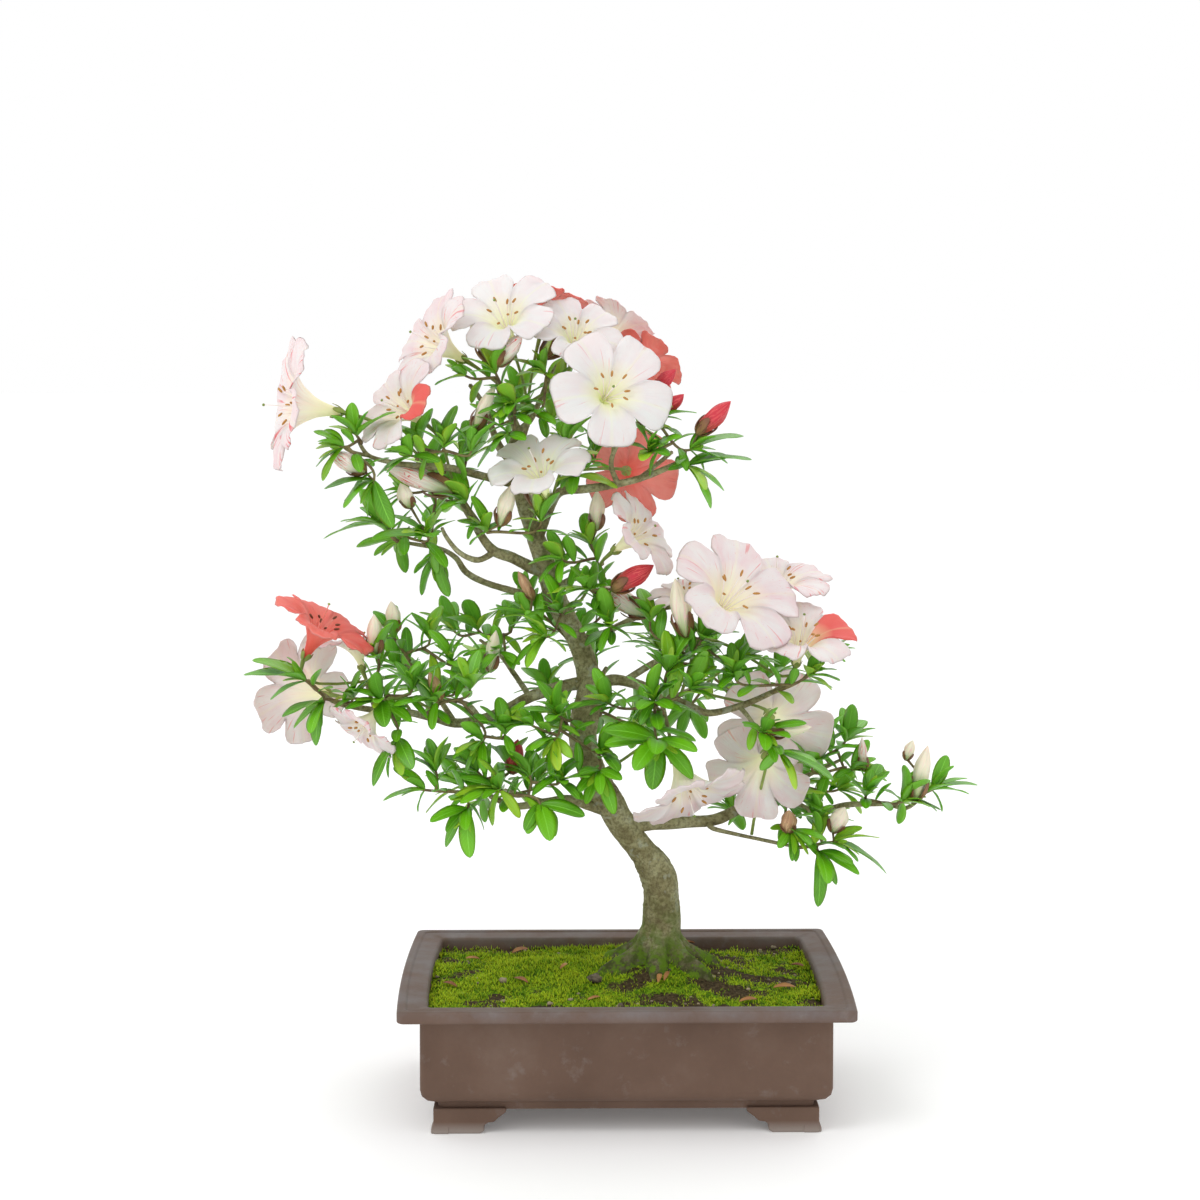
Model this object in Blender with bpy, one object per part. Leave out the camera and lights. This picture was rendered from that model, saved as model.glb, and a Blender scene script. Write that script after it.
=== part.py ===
# Satsuki azalea bonsai in a clay pot: every node is one closed body, metres, +Z up.
import math
from itertools import permutations

import bmesh
import bpy
from mathutils import Quaternion, Vector
from mathutils.bvhtree import BVHTree

MM = 0.001

# The picture's camera, found from the pot's corners, in millimetres from the pot's base centre.
CAM_AT = Vector((-32.1, -1347.4, 450.1))
CAM_YAW = math.radians(-0.759)
CAM_PITCH = math.radians(6.367)
CAM_FOCAL = 2293.4
CAM_CENTRE = 600.0
# Moves the whole model so that the middle of its bounding box stands on the origin.
SHIFT = Vector((-5.0, 0.0, 0.0))

# Pot sizes in millimetres.
RIM_HALF_X = 130.0
RIM_HALF_Y = 92.5
POT_BOW = 2.5
POT_CORNER = 3.5
POT_FLOOR_Z = 22.0
POT_INNER_INSET = 17.0
# Height and inset from the rim's outer edge, up the outside.
POT_OUTSIDE = (
    (13.5, 22.1), (18.3, 21.6), (19.0, 19.0), (20.8, 15.2), (23.6, 12.9), (27.5, 12.0),
    (66.0, 12.2), (68.8, 10.8), (70.0, 8.0), (70.0, 0.9), (70.9, 0.0), (76.1, 0.0),
    (77.0, 0.9), (77.0, 4.6), (76.1, 5.5), (76.4, 6.5), (75.5, 15.6), (74.6, 16.5),
)
FOOT_OUTLINE = (
    (-1.2, 0.0), (27.0, 0.0), (29.5, 1.6), (29.2, 4.6), (31.5, 6.4), (35.0, 6.8),
    (37.6, 9.4), (42.0, 12.6), (42.0, 15.0), (0.6, 15.0), (0.2, 6.0), (-1.2, 2.4),
)
FOOT_OUTER_X = 111.0
FOOT_OUTER_Y = 73.5
FOOT_THICK = 9.0
FOOT_SIDE_SCALE = 0.72
DRAIN_RADIUS = 7.0
DRAIN_X = 52.0

# Soil sizes in millimetres.
SOIL_GAP = 0.7
SOIL_BASE_Z = 22.5
HOLE_FLOOR_Z = 60.0
ROOT_FOOT_Z = 60.5
ROOT_GAP = 0.45
# Bearing in degrees and reach in millimetres of each surface root.
ROOTS = ((8, 40), (62, 30), (112, 34), (158, 42), (205, 46), (262, 34), (318, 44))
ROOT_HALF_ANGLE = 13.0
FLARE_TOP_Z = 103.0
FLARE_TOP_RADIUS = 12.4

# Pixel column, pixel row, depth in millimetres and radius in millimetres.
TRUNK = (
    (660, 948, 4, 12.2), (661, 925, 3, 11.2), (661, 900, 2, 10.8), (659, 880, 2, 10.8),
    (652, 863, 0, 9.6), (641, 849, -2, 8.4), (627, 831, -4, 8.2), (611, 806, -6, 8.6),
    (597, 783, -6, 8.4), (587, 757, -4, 8.2), (583, 736, -2, 8.2), (586, 712, 2, 8.2),
    (590, 690, 6, 7.6), (585, 662, 10, 6.6), (575, 634, 12, 6.2), (558, 604, 12, 6.4),
    (549, 576, 12, 6.6), (540, 550, 10, 5.6), (530, 522, 8, 4.8), (523, 500, 6, 4.4),
    (516, 472, 6, 4.0), (512, 452, 6, 3.4), (517, 432, 6, 2.6), (508, 410, 2, 2.1),
    (500, 392, 0, 1.8), (497, 378, -2, 1.4),
)
# Each branch starts inside its parent.
BRANCHES = {
    "apex_left": ((513, 462, 6, 2.8), (500, 448, 12, 2.4), (492, 428, 14, 1.9),
                  (484, 405, 14, 1.6), (470, 385, 10, 1.3)),
    "apex_right": ((517, 432, 6, 2.0), (530, 420, 10, 1.8), (540, 400, 14, 1.5),
                   (548, 380, 16, 1.3), (555, 365, 18, 1.1)),
    "apex_back": ((512, 455, 6, 2.0), (522, 440, 22, 1.6), (528, 425, 36, 1.2)),
    "upper_right": ((537, 540, 10, 3.4), (548, 512, 8, 3.0), (560, 492, 4, 2.7),
                    (585, 489, 0, 2.4), (618, 484, -6, 2.2), (650, 475, -8, 1.9),
                    (682, 461, -6, 1.4)),
    "upper_right_a": ((560, 492, 4, 1.6), (568, 475, -2, 1.4), (566, 455, -6, 1.2),
                      (568, 447, -8, 1.0)),
    "upper_right_b": ((618, 484, -6, 1.7), (611, 464, -10, 1.5), (617, 444, -14, 1.2),
                      (622, 430, -16, 1.0)),
    "upper_right_c": ((640, 478, -7, 1.4), (655, 466, 4, 1.3), (672, 452, 10, 1.1)),
    "upper_right_d": ((615, 450, -13, 1.2), (622, 425, 4, 1.1), (626, 398, 16, 0.9)),
    "upper_left": ((520, 485, 6, 2.8), (490, 478, -6, 2.4), (450, 468, -14, 2.1),
                   (420, 466, -18, 1.8), (390, 462, -20, 1.5), (368, 455, -20, 1.3),
                   (358, 440, -20, 1.0)),
    "upper_left_a": ((370, 456, -20, 1.2), (352, 452, -22, 1.1), (344, 447, -22, 0.9)),
    "left_arch": ((547, 573, 12, 4.0), (533, 568, 8, 3.6), (513, 558, 4, 3.4),
                  (494, 551, 0, 3.0), (482, 537, -4, 2.4), (472, 520, -6, 2.0),
                  (462, 505, -8, 1.5)),
    "left_arch_a": ((494, 552, 0, 2.2), (478, 560, -6, 1.8), (460, 553, -12, 1.5),
                    (447, 538, -14, 1.3), (442, 528, -14, 1.0)),
    "left_arch_b": ((557, 602, 12, 2.4), (513, 591, 20, 2.0), (484, 582, 22, 1.9),
                    (466, 572, 20, 1.8), (456, 558, 16, 1.6), (441, 549, 12, 1.4),
                    (420, 545, 8, 1.2), (400, 542, 4, 0.9)),
    "mid_twig": ((552, 590, 12, 2.2), (570, 580, 8, 2.0), (590, 572, 2, 1.6),
                 (603, 563, 0, 1.2)),
    "right": ((591, 688, 6, 3.8), (612, 680, 4, 3.4), (636, 684, -2, 3.0),
              (660, 694, -8, 2.6), (690, 706, -14, 2.3), (710, 713, -18, 2.1),
              (740, 706, -20, 1.9), (762, 697, -22, 1.6), (790, 683, -24, 1.2)),
    "right_a": ((740, 707, -20, 1.5), (752, 722, -30, 1.3), (760, 738, -36, 1.0)),
    "right_b": ((625, 681, 1, 2.2), (650, 665, 0, 2.0), (680, 650, 2, 1.7),
                (700, 640, 0, 1.3)),
    "right_c": ((577, 641, 12, 2.6), (600, 635, 16, 2.2), (630, 620, 18, 1.9),
                (655, 610, 16, 1.6), (685, 605, 14, 1.4), (715, 600, 12, 1.2),
                (740, 612, 14, 1.1), (758, 624, 16, 0.9)),
    "right_d": ((660, 694, -8, 1.8), (664, 712, -22, 1.5), (668, 728, -30, 1.2),
                (670, 738, -33, 1.0)),
    "right_e": ((670, 700, -10, 1.8), (690, 690, 14, 1.5), (712, 686, 36, 1.1)),
    "left": ((585, 682, 8, 4.0), (560, 687, 2, 3.6), (530, 697, -4, 3.4),
             (505, 710, -8, 3.2), (480, 720, -10, 3.0), (455, 723, -12, 2.7),
             (430, 717, -14, 2.4), (405, 712, -16, 2.1), (375, 710, -18, 1.9),
             (350, 706, -20, 1.6), (335, 702, -20, 1.4), (320, 692, -22, 1.2),
             (308, 680, -22, 0.9)),
    "left_a": ((455, 723, -12, 1.8), (440, 700, 0, 1.6), (425, 680, 10, 1.4),
               (405, 665, 16, 1.0)),
    "left_b": ((530, 697, -4, 1.8), (515, 675, 10, 1.6), (500, 655, 18, 1.3),
               (480, 640, 24, 1.0)),
    "left_c": ((375, 710, -18, 1.3), (370, 695, -8, 1.1), (366, 683, 0, 0.9)),
    "left_d": ((480, 720, -10, 1.9), (470, 706, 12, 1.6), (455, 700, 34, 1.2)),
    "low_left": ((608, 812, -6, 3.4), (590, 806, -10, 3.0), (568, 799, -14, 2.6),
                 (545, 802, -20, 2.3), (515, 806, -26, 2.0), (490, 796, -30, 1.5)),
    "low_left_a": ((545, 802, -20, 1.6), (525, 796, -4, 1.4), (505, 790, 8, 1.1)),
    "low_right": ((633, 826, -4, 4.6), (655, 823, -2, 4.2), (680, 822, 2, 3.9),
                  (713, 820, 6, 3.5), (733, 812, 10, 3.2), (755, 802, 14, 2.9),
                  (785, 800, 16, 2.5), (815, 812, 12, 2.2), (846, 805, 8, 1.9),
                  (868, 804, 4, 1.7), (888, 804, 0, 1.5), (906, 808, -2, 1.3),
                  (922, 797, -4, 1.0)),
    "low_right_a": ((709, 822, 6, 2.0), (712, 828, -2, 1.4), (735, 834, -6, 1.2),
                    (768, 841, -12, 1.1), (795, 847, -16, 0.9)),
    "low_right_b": ((785, 800, 16, 1.7), (800, 780, 24, 1.5), (820, 770, 28, 1.3),
                    (840, 760, 30, 1.0)),
    "back": ((588, 700, 4, 3.0), (594, 690, 22, 2.4), (600, 680, 40, 1.8),
             (606, 668, 54, 1.2)),
    "back_upper": ((553, 592, 12, 2.4), (556, 580, 28, 1.8), (552, 566, 42, 1.2)),
}

# Base column, row and depth, mouth column, row and depth, width, roll in degrees, colour.
BLOOMS = {
    "far_left": (345, 413, -22, 290, 404, -30, 78, 20, "pink"),
    "top_left": (468, 362, 10, 425, 336, -2, 66, 5, "pink"),
    "half_red": (427, 425, -16, 393, 402, -30, 56, 40, "mixed"),
    "top_centre": (512, 345, 16, 500, 302, -6, 62, 10, "white"),
    "top_red": (540, 336, 20, 553, 285, 30, 52, 30, "red"),
    "top_right": (572, 360, 10, 578, 322, -8, 54, 0, "white"),
    "top_back": (602, 352, 32, 622, 322, 42, 50, 0, "pink"),
    "big_white": (600, 405, -4, 614, 387, -34, 68, 12, "white"),
    "behind_red": (630, 380, 22, 650, 360, 36, 46, 20, "red"),
    "under_red": (625, 470, 8, 631, 474, 30, 54, 8, "red"),
    "centre_white": (548, 500, -6, 530, 438, -26, 60, 30, "white"),
    "mid_right": (611, 553, -4, 650, 526, -14, 56, 15, "pink"),
    "cluster_back": (770, 618, 16, 780, 564, 8, 64, 12, "pink"),
    "cluster_front": (708, 625, -22, 737, 590, -42, 78, 25, "pink"),
    "cluster_half_red": (795, 668, -22, 806, 622, -36, 60, 0, "mixed"),
    "cluster_left": (690, 622, 6, 682, 585, 2, 46, 10, "mixed"),
    "low_back": (768, 712, -10, 774, 722, 12, 70, 10, "pink"),
    "low_under": (768, 750, -26, 757, 774, -4, 62, 30, "pink"),
    "hanging": (672, 750, -36, 690, 795, -48, 70, 18, "pink"),
    "left_red": (303, 661, -24, 320, 630, -26, 62, 30, "red"),
    "left_back": (332, 695, -4, 308, 690, 12, 66, 14, "pink"),
    "left_upright": (363, 672, 6, 354, 634, 8, 46, 0, "pink"),
    "left_nodding": (382, 704, -36, 356, 738, -46, 46, 10, "pink"),
}

# Whorl column, row and depth, leaf length, lift, and the leaf tips seen in the picture.
SPRAYS = {
    "left_tip": ((306, 681, -30, 24, 0.2, ((243, 675), (252, 660), (270, 700))),
                 (324, 702, -30, 22, 0.0, ((282, 717), (316, 746))),
                 (353, 699, -34, 22, 0.4, ((330, 712), (340, 676)))),
    "left_middle": ((378, 659, -20, 24, 0.9, ((352, 645), (392, 622))),
                    (382, 701, -40, 26, 0.4, ((352, 690), (412, 722))),
                    (398, 738, -40, 26, -0.8, ((363, 778), (402, 745))),
                    (412, 690, -34, 24, 0.8, ((395, 672), (425, 662)))),
    "left_rise": ((395, 639, -2, 24, 0.9, ((372, 620), (413, 612))),
                  (430, 640, 8, 26, 0.8, ((441, 615), (410, 655))),
                  (452, 662, -10, 24, 0.7, ((470, 650), (432, 652)))),
    "left_inner": ((437, 702, -34, 26, 0.4, ((432, 730), (455, 690))),
                   (470, 690, -36, 24, 0.7, ((488, 672), (452, 676))),
                   (483, 741, -34, 24, 0.2, ((462, 722), (490, 765))),
                   (505, 735, -30, 24, 0.4, ((524, 722), (512, 756)))),
    "left_crown": ((478, 630, 24, 26, 0.9, ((455, 618), (497, 610))),
                   (512, 628, 16, 26, 0.9, ((505, 605), (534, 632))),
                   (500, 652, -6, 24, 0.6, ((484, 660), (520, 665))),
                   (455, 632, 40, 24, 0.8, ((440, 625),))),
    "left_rear": ((420, 690, 44, 26, 0.5, ()), (455, 690, 58, 26, 0.6, ()),
                  (398, 668, 52, 24, 0.5, ()), (486, 668, 62, 26, 0.8, ())),
    "low_left_tip": ((425, 790, -38, 24, 0.1, ((397, 795), (408, 778), (418, 812))),
                     (436, 772, -30, 26, 0.8, ((412, 758), (428, 738))),
                     (468, 808, -42, 28, -0.5, ((470, 858), (446, 832), (430, 822)))),
    "low_left_middle": ((500, 790, -46, 26, 0.2, ((492, 826), (520, 818))),
                        (478, 772, -22, 26, 0.7, ((452, 758), (488, 750))),
                        (510, 768, -14, 24, 0.8, ((500, 745), (530, 758))),
                        (540, 804, -46, 26, -0.5, ((527, 834), (556, 836), (585, 816))),
                        (530, 776, -32, 24, 0.6, ((548, 762), (514, 782))),
                        (560, 782, -36, 22, 0.4, ((583, 800), (560, 764)))),
    "low_left_rear": ((500, 790, 24, 24, 0.4, ()), (462, 786, 26, 24, 0.4, ()),
                      (538, 782, 28, 24, 0.5, ()), (480, 800, 44, 22, 0.3, ())),
    "trunk_front": ((560, 716, -30, 26, 0.6, ((540, 702), (582, 702), (566, 690))),
                    (556, 738, -36, 24, -0.1, ((536, 752), (572, 758))),
                    (533, 726, -38, 24, 0.4, ((520, 708), (548, 744))),
                    (602, 753, -28, 24, 0.4, ((588, 738), (626, 745))),
                    (600, 770, -34, 22, -0.4, ((584, 784), (622, 780)))),
    "trunk_rear": ((600, 716, 52, 26, 0.4, ()), (566, 730, 46, 24, 0.4, ()),
                   (548, 690, 50, 26, 0.7, ()), (634, 722, 54, 24, 0.3, ()),
                   (592, 660, 66, 26, 0.9, ())),
    "trunk_middle": ((560, 613, -10, 26, 0.7, ((540, 600), (584, 600))),
                     (547, 637, -16, 24, 0.4, ((522, 642), (566, 652))),
                     (530, 617, -6, 26, 0.7, ((505, 600), (520, 592)))),
    "trunk_middle_rear": ((562, 632, 56, 26, 0.6, ()), (530, 600, 50, 24, 0.6, ()),
                          (604, 610, 58, 26, 0.7, ()), (560, 570, 64, 24, 0.9, ())),
    "mid_inner": ((610, 627, -12, 26, 0.7, ((592, 612), (632, 640), (600, 652))),
                  (591, 545, 2, 24, 0.8, ((572, 530), (610, 528))),
                  (590, 590, -12, 24, 0.6, ((572, 605), (608, 585))),
                  (562, 560, -6, 24, 0.6, ((545, 545), (560, 583)))),
    "right_front": ((654, 702, -40, 28, 0.5, ((640, 725), (682, 712))),
                    (690, 690, -38, 28, 0.6, ((678, 668), (716, 700))),
                    (610, 704, -22, 24, 0.5, ((590, 715), (625, 690))),
                    (657, 740, -46, 32, 0.1, ((604, 730), (604, 744), (652, 790)))),
    "right_middle": ((667, 672, -30, 34, 0.7, ((717, 646), (646, 652), (692, 690))),
                     (702, 640, -28, 28, 0.8, ((690, 618), (724, 655))),
                     (738, 660, -18, 26, 0.7, ((757, 645), (724, 680))),
                     (650, 622, -6, 28, 0.9, ((636, 608), (664, 604)))),
    "right_tip": ((808, 676, -36, 24, 0.5, ((832, 690), (826, 668))),
                  (825, 655, -26, 22, 0.6, ((856, 648), (846, 640), (845, 662))),
                  (735, 676, -36, 26, 0.6, ((760, 668), (718, 690)))),
    "right_hang": ((763, 733, -50, 26, 0.3, ((742, 722), (790, 738))),
                   (778, 752, -52, 30, -0.2, ((834, 780), (760, 770), (792, 770)))),
    "right_rear": ((740, 690, 52, 26, 0.5, ()), (776, 672, 50, 26, 0.6, ()),
                   (706, 664, 60, 26, 0.7, ()), (690, 706, 56, 24, 0.3, ()),
                   (660, 650, 60, 26, 0.8, ())),
    "low_right_inner": ((788, 798, -6, 26, 0.4, ((762, 790), (804, 776), (740, 800))),
                        (790, 830, -26, 24, -0.3, ((778, 848), (770, 828), (796, 862)))),
    "low_right_fall": ((833, 842, -20, 28, 0.0, ((887, 874), (880, 838), (858, 862))),
                       (818, 851, -26, 26, -0.5, ((838, 884), (806, 862), (800, 838))),
                       (816, 822, -14, 24, 0.5, ((832, 806), (798, 815)))),
    "low_right_crown": ((822, 752, 24, 26, 0.9, ((806, 736), (842, 715))),
                        (845, 742, 36, 24, 0.9, ((862, 727), (833, 722))),
                        (852, 770, 14, 24, 0.6, ((876, 758), (836, 778))),
                        (812, 768, 6, 24, 0.6, ((790, 762), (826, 786)))),
    "low_right_tip": ((866, 796, -8, 24, 0.6, ((886, 776), (850, 784))),
                      (902, 802, -14, 24, 0.5, ((884, 790), (905, 765), (898, 824))),
                      (932, 790, -8, 26, 0.3, ((978, 785), (968, 778), (942, 812)))),
    "low_right_rear": ((800, 784, 54, 26, 0.5, ()), (838, 790, 46, 24, 0.4, ()),
                       (762, 796, 50, 26, 0.5, ()), (732, 812, 40, 24, 0.2, ())),
    "upper_left_tip": ((357, 436, -24, 24, 0.7, ((331, 415), (368, 411), (396, 412))),
                       (344, 447, -30, 22, 0.2, ((318, 441), (324, 430))),
                       (374, 480, -30, 24, -0.2, ((324, 489), (367, 503), (344, 501)))),
    "upper_left": ((419, 446, -20, 24, 0.8, ((406, 428), (432, 408))),
                   (444, 448, -22, 26, 0.7, ((438, 424), (466, 440))),
                   (412, 456, -30, 24, 0.3, ((384, 452), (440, 462))),
                   (471, 452, -20, 26, 0.7, ((452, 460), (466, 420)))),
    "left_arch_tip": ((381, 524, 2, 26, 0.4, ((345, 522), (323, 539), (360, 507))),
                      (428, 537, -20, 30, 0.4, ((371, 539), (391, 515), (434, 512))),
                      (400, 540, 12, 22, 0.0, ((374, 556), (356, 547))),
                      (436, 556, 6, 22, -0.6, ((420, 562),))),
    "left_arch": ((466, 503, -14, 26, 0.8, ((440, 512), (478, 480))),
                  (487, 532, -16, 24, 0.7, ((470, 545), (505, 520))),
                  (541, 522, -8, 24, 0.5, ((528, 508), (562, 512), (512, 520)))),
    "upper_rear": ((430, 470, 40, 26, 0.6, ()), (466, 462, 52, 26, 0.7, ()),
                   (452, 500, 50, 24, 0.4, ()), (408, 492, 34, 24, 0.4, ())),
    "apex": ((496, 374, -10, 26, 0.9, ((480, 334), (499, 322), (470, 372))),
             (514, 405, -14, 26, 0.4, ((500, 424), (530, 396), (488, 400))),
             (466, 376, 0, 24, 0.5, ((445, 380), (452, 366))),
             (509, 434, -14, 24, 0.4, ((488, 440), (526, 440)))),
    "apex_right": ((545, 374, 4, 24, 0.5, ((562, 384), (530, 360))),
                   (562, 384, 20, 24, 0.4, ((585, 400), (572, 366))),
                   (535, 412, -2, 24, 0.5, ((556, 424), (520, 420)))),
    "apex_rear": ((520, 400, 54, 26, 0.8, ()), (494, 424, 50, 24, 0.5, ()),
                  (552, 420, 52, 26, 0.5, ())),
    "upper_right": ((659, 418, -8, 24, 0.8, ((640, 430), (664, 398), (682, 420))),
                    (690, 450, -8, 26, 0.6, ((744, 436), (716, 436), (704, 470))),
                    (687, 466, -10, 24, 0.2, ((752, 460), (728, 456), (668, 470))),
                    (650, 452, -18, 24, 0.5, ((628, 444), (664, 440)))),
    "upper_right_inner": ((567, 445, -14, 26, 0.8, ((548, 432), (590, 432))),
                          (576, 476, -12, 26, 0.5, ((561, 488), (618, 488), (592, 462))),
                          (595, 452, 24, 24, 0.6, ((606, 440),))),
}

# Base column and row, tip column and row, and radius in millimetres.
BUDS = (
    (489, 362, 470, 318, 3.6), (497, 366, 523, 333, 4.2), (541, 358, 593, 310, 5.6),
    (473, 432, 495, 385, 3.8), (537, 508, 523, 452, 4.0), (500, 526, 511, 485, 4.6),
    (597, 530, 597, 490, 4.4), (533, 600, 518, 571, 3.0), (490, 672, 496, 630, 4.0),
    (395, 633, 391, 601, 4.2), (376, 655, 374, 614, 4.6), (441, 700, 429, 672, 3.4),
    (466, 780, 438, 745, 5.0), (512, 774, 518, 739, 4.6), (648, 616, 597, 586, 6.0),
    (612, 590, 654, 565, 5.6), (686, 637, 675, 578, 5.4), (764, 733, 812, 727, 3.6),
    (864, 771, 862, 737, 2.6), (915, 801, 928, 745, 4.6), (906, 760, 913, 740, 3.0),
    (832, 832, 845, 807, 5.2), (788, 833, 789, 810, 4.6), (697, 434, 731, 401, 5.0),
    (675, 432, 682, 405, 3.4), (663, 413, 684, 394, 3.6), (653, 392, 676, 369, 4.0),
    (366, 472, 329, 453, 5.0), (455, 492, 384, 466, 5.8), (411, 508, 400, 483, 4.4),
    (386, 517, 382, 500, 2.6),
)

# Leaves of each whorl modelled here; the rear of the tree carries whole whorls too.
LEAVES = 3
WHORL_FORKS = (0, 5, -5, 10, -10, 16, -16, 22, -22, 28, -28)
LEAF_TURNS = (0, 16, -16, 32, -32, 48, -48, 64, -64)
STEM_GAP = 0.5
FORK_GAP = 2.6
LEAST_FACING = 0.25
CLEAR = 0.32
BRANCH_SLACK = 1.3
# Metres: points of a union closer than this are made one.
WELD = 1.2e-5
ATTEMPTS = 6
TWIG_TRIES = (1.0, 1.08, 0.94, 1.15, 0.9, 1.22, 1.3, 1.02)
# Twig thickness and nudges of the sprays whose other unions come out unsound.
SPRAY_JOINS = {
    "left_inner": ((1.15,), (0,)),
    "low_left_middle": ((1.1,), (1,)), "mid_inner": ((1.1,), (1,)), "upper_right": ((1.1,), (1,)),
    "low_right_fall": ((1.1,), (1,)), "left_arch": ((1.2,), (1,)),
}
# Cubic metres: anything smaller that a union leaves loose is dropped.
LEAST_VOLUME = 1e-9

COLOURS = {
    "pot": (0.12, 0.075, 0.055), "soil": (0.10, 0.16, 0.02), "bark": (0.17, 0.15, 0.09),
    "leaf": (0.07, 0.26, 0.02), "pink": (0.85, 0.66, 0.68), "white": (0.86, 0.80, 0.78),
    "red": (0.75, 0.07, 0.05), "mixed": (0.84, 0.52, 0.52),
}


def seen(column, row, depth):
    """The point, in millimetres, that the picture shows at a pixel, at a depth behind centre."""
    cy, sy = math.cos(CAM_YAW), math.sin(CAM_YAW)
    cp, sp = math.cos(CAM_PITCH), math.sin(CAM_PITCH)
    right = Vector((cy, sy, 0.0))
    level = Vector((-sy, cy, 0.0))
    forward = level * cp - Vector((0.0, 0.0, sp))
    up = level * sp + Vector((0.0, 0.0, cp))
    ray = forward * CAM_FOCAL + right * (column - CAM_CENTRE) - up * (row - CAM_CENTRE)
    return CAM_AT + ray * ((depth - CAM_AT.y) / ray.y) - SHIFT


def draw(*keys):
    """A fixed number from 0 to 1 for a set of keys."""
    value = 0.0
    for i, key in enumerate(keys):
        value += (key + 1.0) * (12.9898, 78.233, 37.719, 94.673)[i]
    return math.modf(abs(math.sin(value)) * 43758.5453)[0]


def side_of(axis):
    """A unit vector square to an axis."""
    other = Vector((0.0, 0.0, 1.0)) if abs(axis.z) < 0.8 else Vector((1.0, 0.0, 0.0))
    return axis.cross(other).normalized()


def bezier(points, t):
    """A point of the cubic through four handles."""
    a, b, c, d = points
    u = 1.0 - t
    return a * u ** 3 + b * (3 * u * u * t) + c * (3 * u * t * t) + d * t ** 3


def tube(path, radii, sides, pointed=None):
    """A closed tube through points, its start capped about a middle vertex."""
    verts, faces = [path[0].copy()], []
    normal = side_of((path[1] - path[0]).normalized())
    for i, point in enumerate(path):
        ahead = path[min(i + 1, len(path) - 1)] - path[max(i - 1, 0)]
        ahead.normalize()
        normal = (normal - ahead * normal.dot(ahead)).normalized()
        other = ahead.cross(normal)
        for k in range(sides):
            a = 2 * math.pi * k / sides
            verts.append(point + (normal * math.cos(a) + other * math.sin(a)) * radii[i])
    verts.append(pointed if pointed is not None else path[-1].copy())
    last = len(verts) - 1
    for k in range(sides):
        n = (k + 1) % sides
        faces.append((0, 1 + n, 1 + k))
        for i in range(len(path) - 1):
            a, b = 1 + i * sides, 1 + (i + 1) * sides
            faces.append((a + k, a + n, b + n, b + k))
        top = 1 + (len(path) - 1) * sides
        faces.append((top + k, top + n, last))
    return verts, faces


def loops(rings, first, last):
    """A closed body through rings of equal count, each end closed by a point or by a face."""
    verts, faces = [], []
    count = len(rings[0])
    for ring in rings:
        verts.extend(ring)
    for i in range(len(rings) - 1):
        for k in range(count):
            n = (k + 1) % count
            faces.append((i * count + k, i * count + n, (i + 1) * count + n, (i + 1) * count + k))
    for point, start in ((first, 0), (last, (len(rings) - 1) * count)):
        ring = [start + k for k in range(count)]
        if start == 0:
            ring.reverse()
        if point is None:
            faces.append(tuple(ring))
            continue
        verts.append(point)
        for k in range(count):
            faces.append((ring[k], ring[(k + 1) % count], len(verts) - 1))
    return verts, faces


def new_object(name, verts, faces):
    """A mesh object in metres, its faces turned outward."""
    mesh = bpy.data.meshes.new(name)
    mesh.from_pydata([v * MM for v in verts], [], faces)
    work = bmesh.new()
    work.from_mesh(mesh)
    bmesh.ops.recalc_face_normals(work, faces=work.faces)
    if work.calc_volume(signed=True) < 0:
        bmesh.ops.reverse_faces(work, faces=work.faces)
    work.to_mesh(mesh)
    work.free()
    thing = bpy.data.objects.new(name, mesh)
    bpy.context.scene.collection.objects.link(thing)
    return thing


def combine(thing, others, operation):
    """Boolean of a body with a collection of others, applied, the others removed."""
    group = bpy.data.collections.new(thing.name + "_parts")
    bpy.context.scene.collection.children.link(group)
    for other in others:
        bpy.context.scene.collection.objects.unlink(other)
        group.objects.link(other)
        other.hide_render = True
        other.display_type = "WIRE"
    step = thing.modifiers.new("join", "BOOLEAN")
    step.operation = operation
    step.operand_type = "COLLECTION"
    step.collection = group
    step.solver = "MANIFOLD"
    bpy.context.view_layer.update()
    graph = bpy.context.evaluated_depsgraph_get()
    mesh = bpy.data.meshes.new_from_object(thing.evaluated_get(graph))
    thing.modifiers.clear()
    thing.data = mesh
    for other in others:
        bpy.data.objects.remove(other)
    bpy.data.collections.remove(group)


def drop_folds(work):
    """Take out pairs of faces folded flat on each other, and pockets closed off inside."""
    groups = {}
    for face in work.faces:
        groups.setdefault(frozenset(v.index for v in face.verts), []).append(face)
    folds = [face for group in groups.values() if len(group) > 1 for face in group]
    bmesh.ops.delete(work, geom=folds, context="FACES_ONLY")
    bmesh.ops.delete(work, geom=[e for e in work.edges if not e.link_faces], context="EDGES")
    bmesh.ops.delete(work, geom=[v for v in work.verts if not v.link_faces], context="VERTS")
    for body in bodies_of(work):
        volume = sum(f.verts[0].co.dot(f.verts[1].co.cross(f.verts[2].co)) for f in body) / 6
        if volume < LEAST_VOLUME:
            bmesh.ops.delete(work, geom=list(body), context="FACES")


def bodies_of(work):
    """Sets of faces that hang together by shared edges."""
    left, bodies = set(work.faces), []
    while left:
        body, edge = set(), [next(iter(left))]
        while edge:
            face = edge.pop()
            if face not in body:
                body.add(face)
                edge.extend(other for e in face.edges for other in e.link_faces)
        left -= body
        bodies.append(body)
    return bodies


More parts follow.
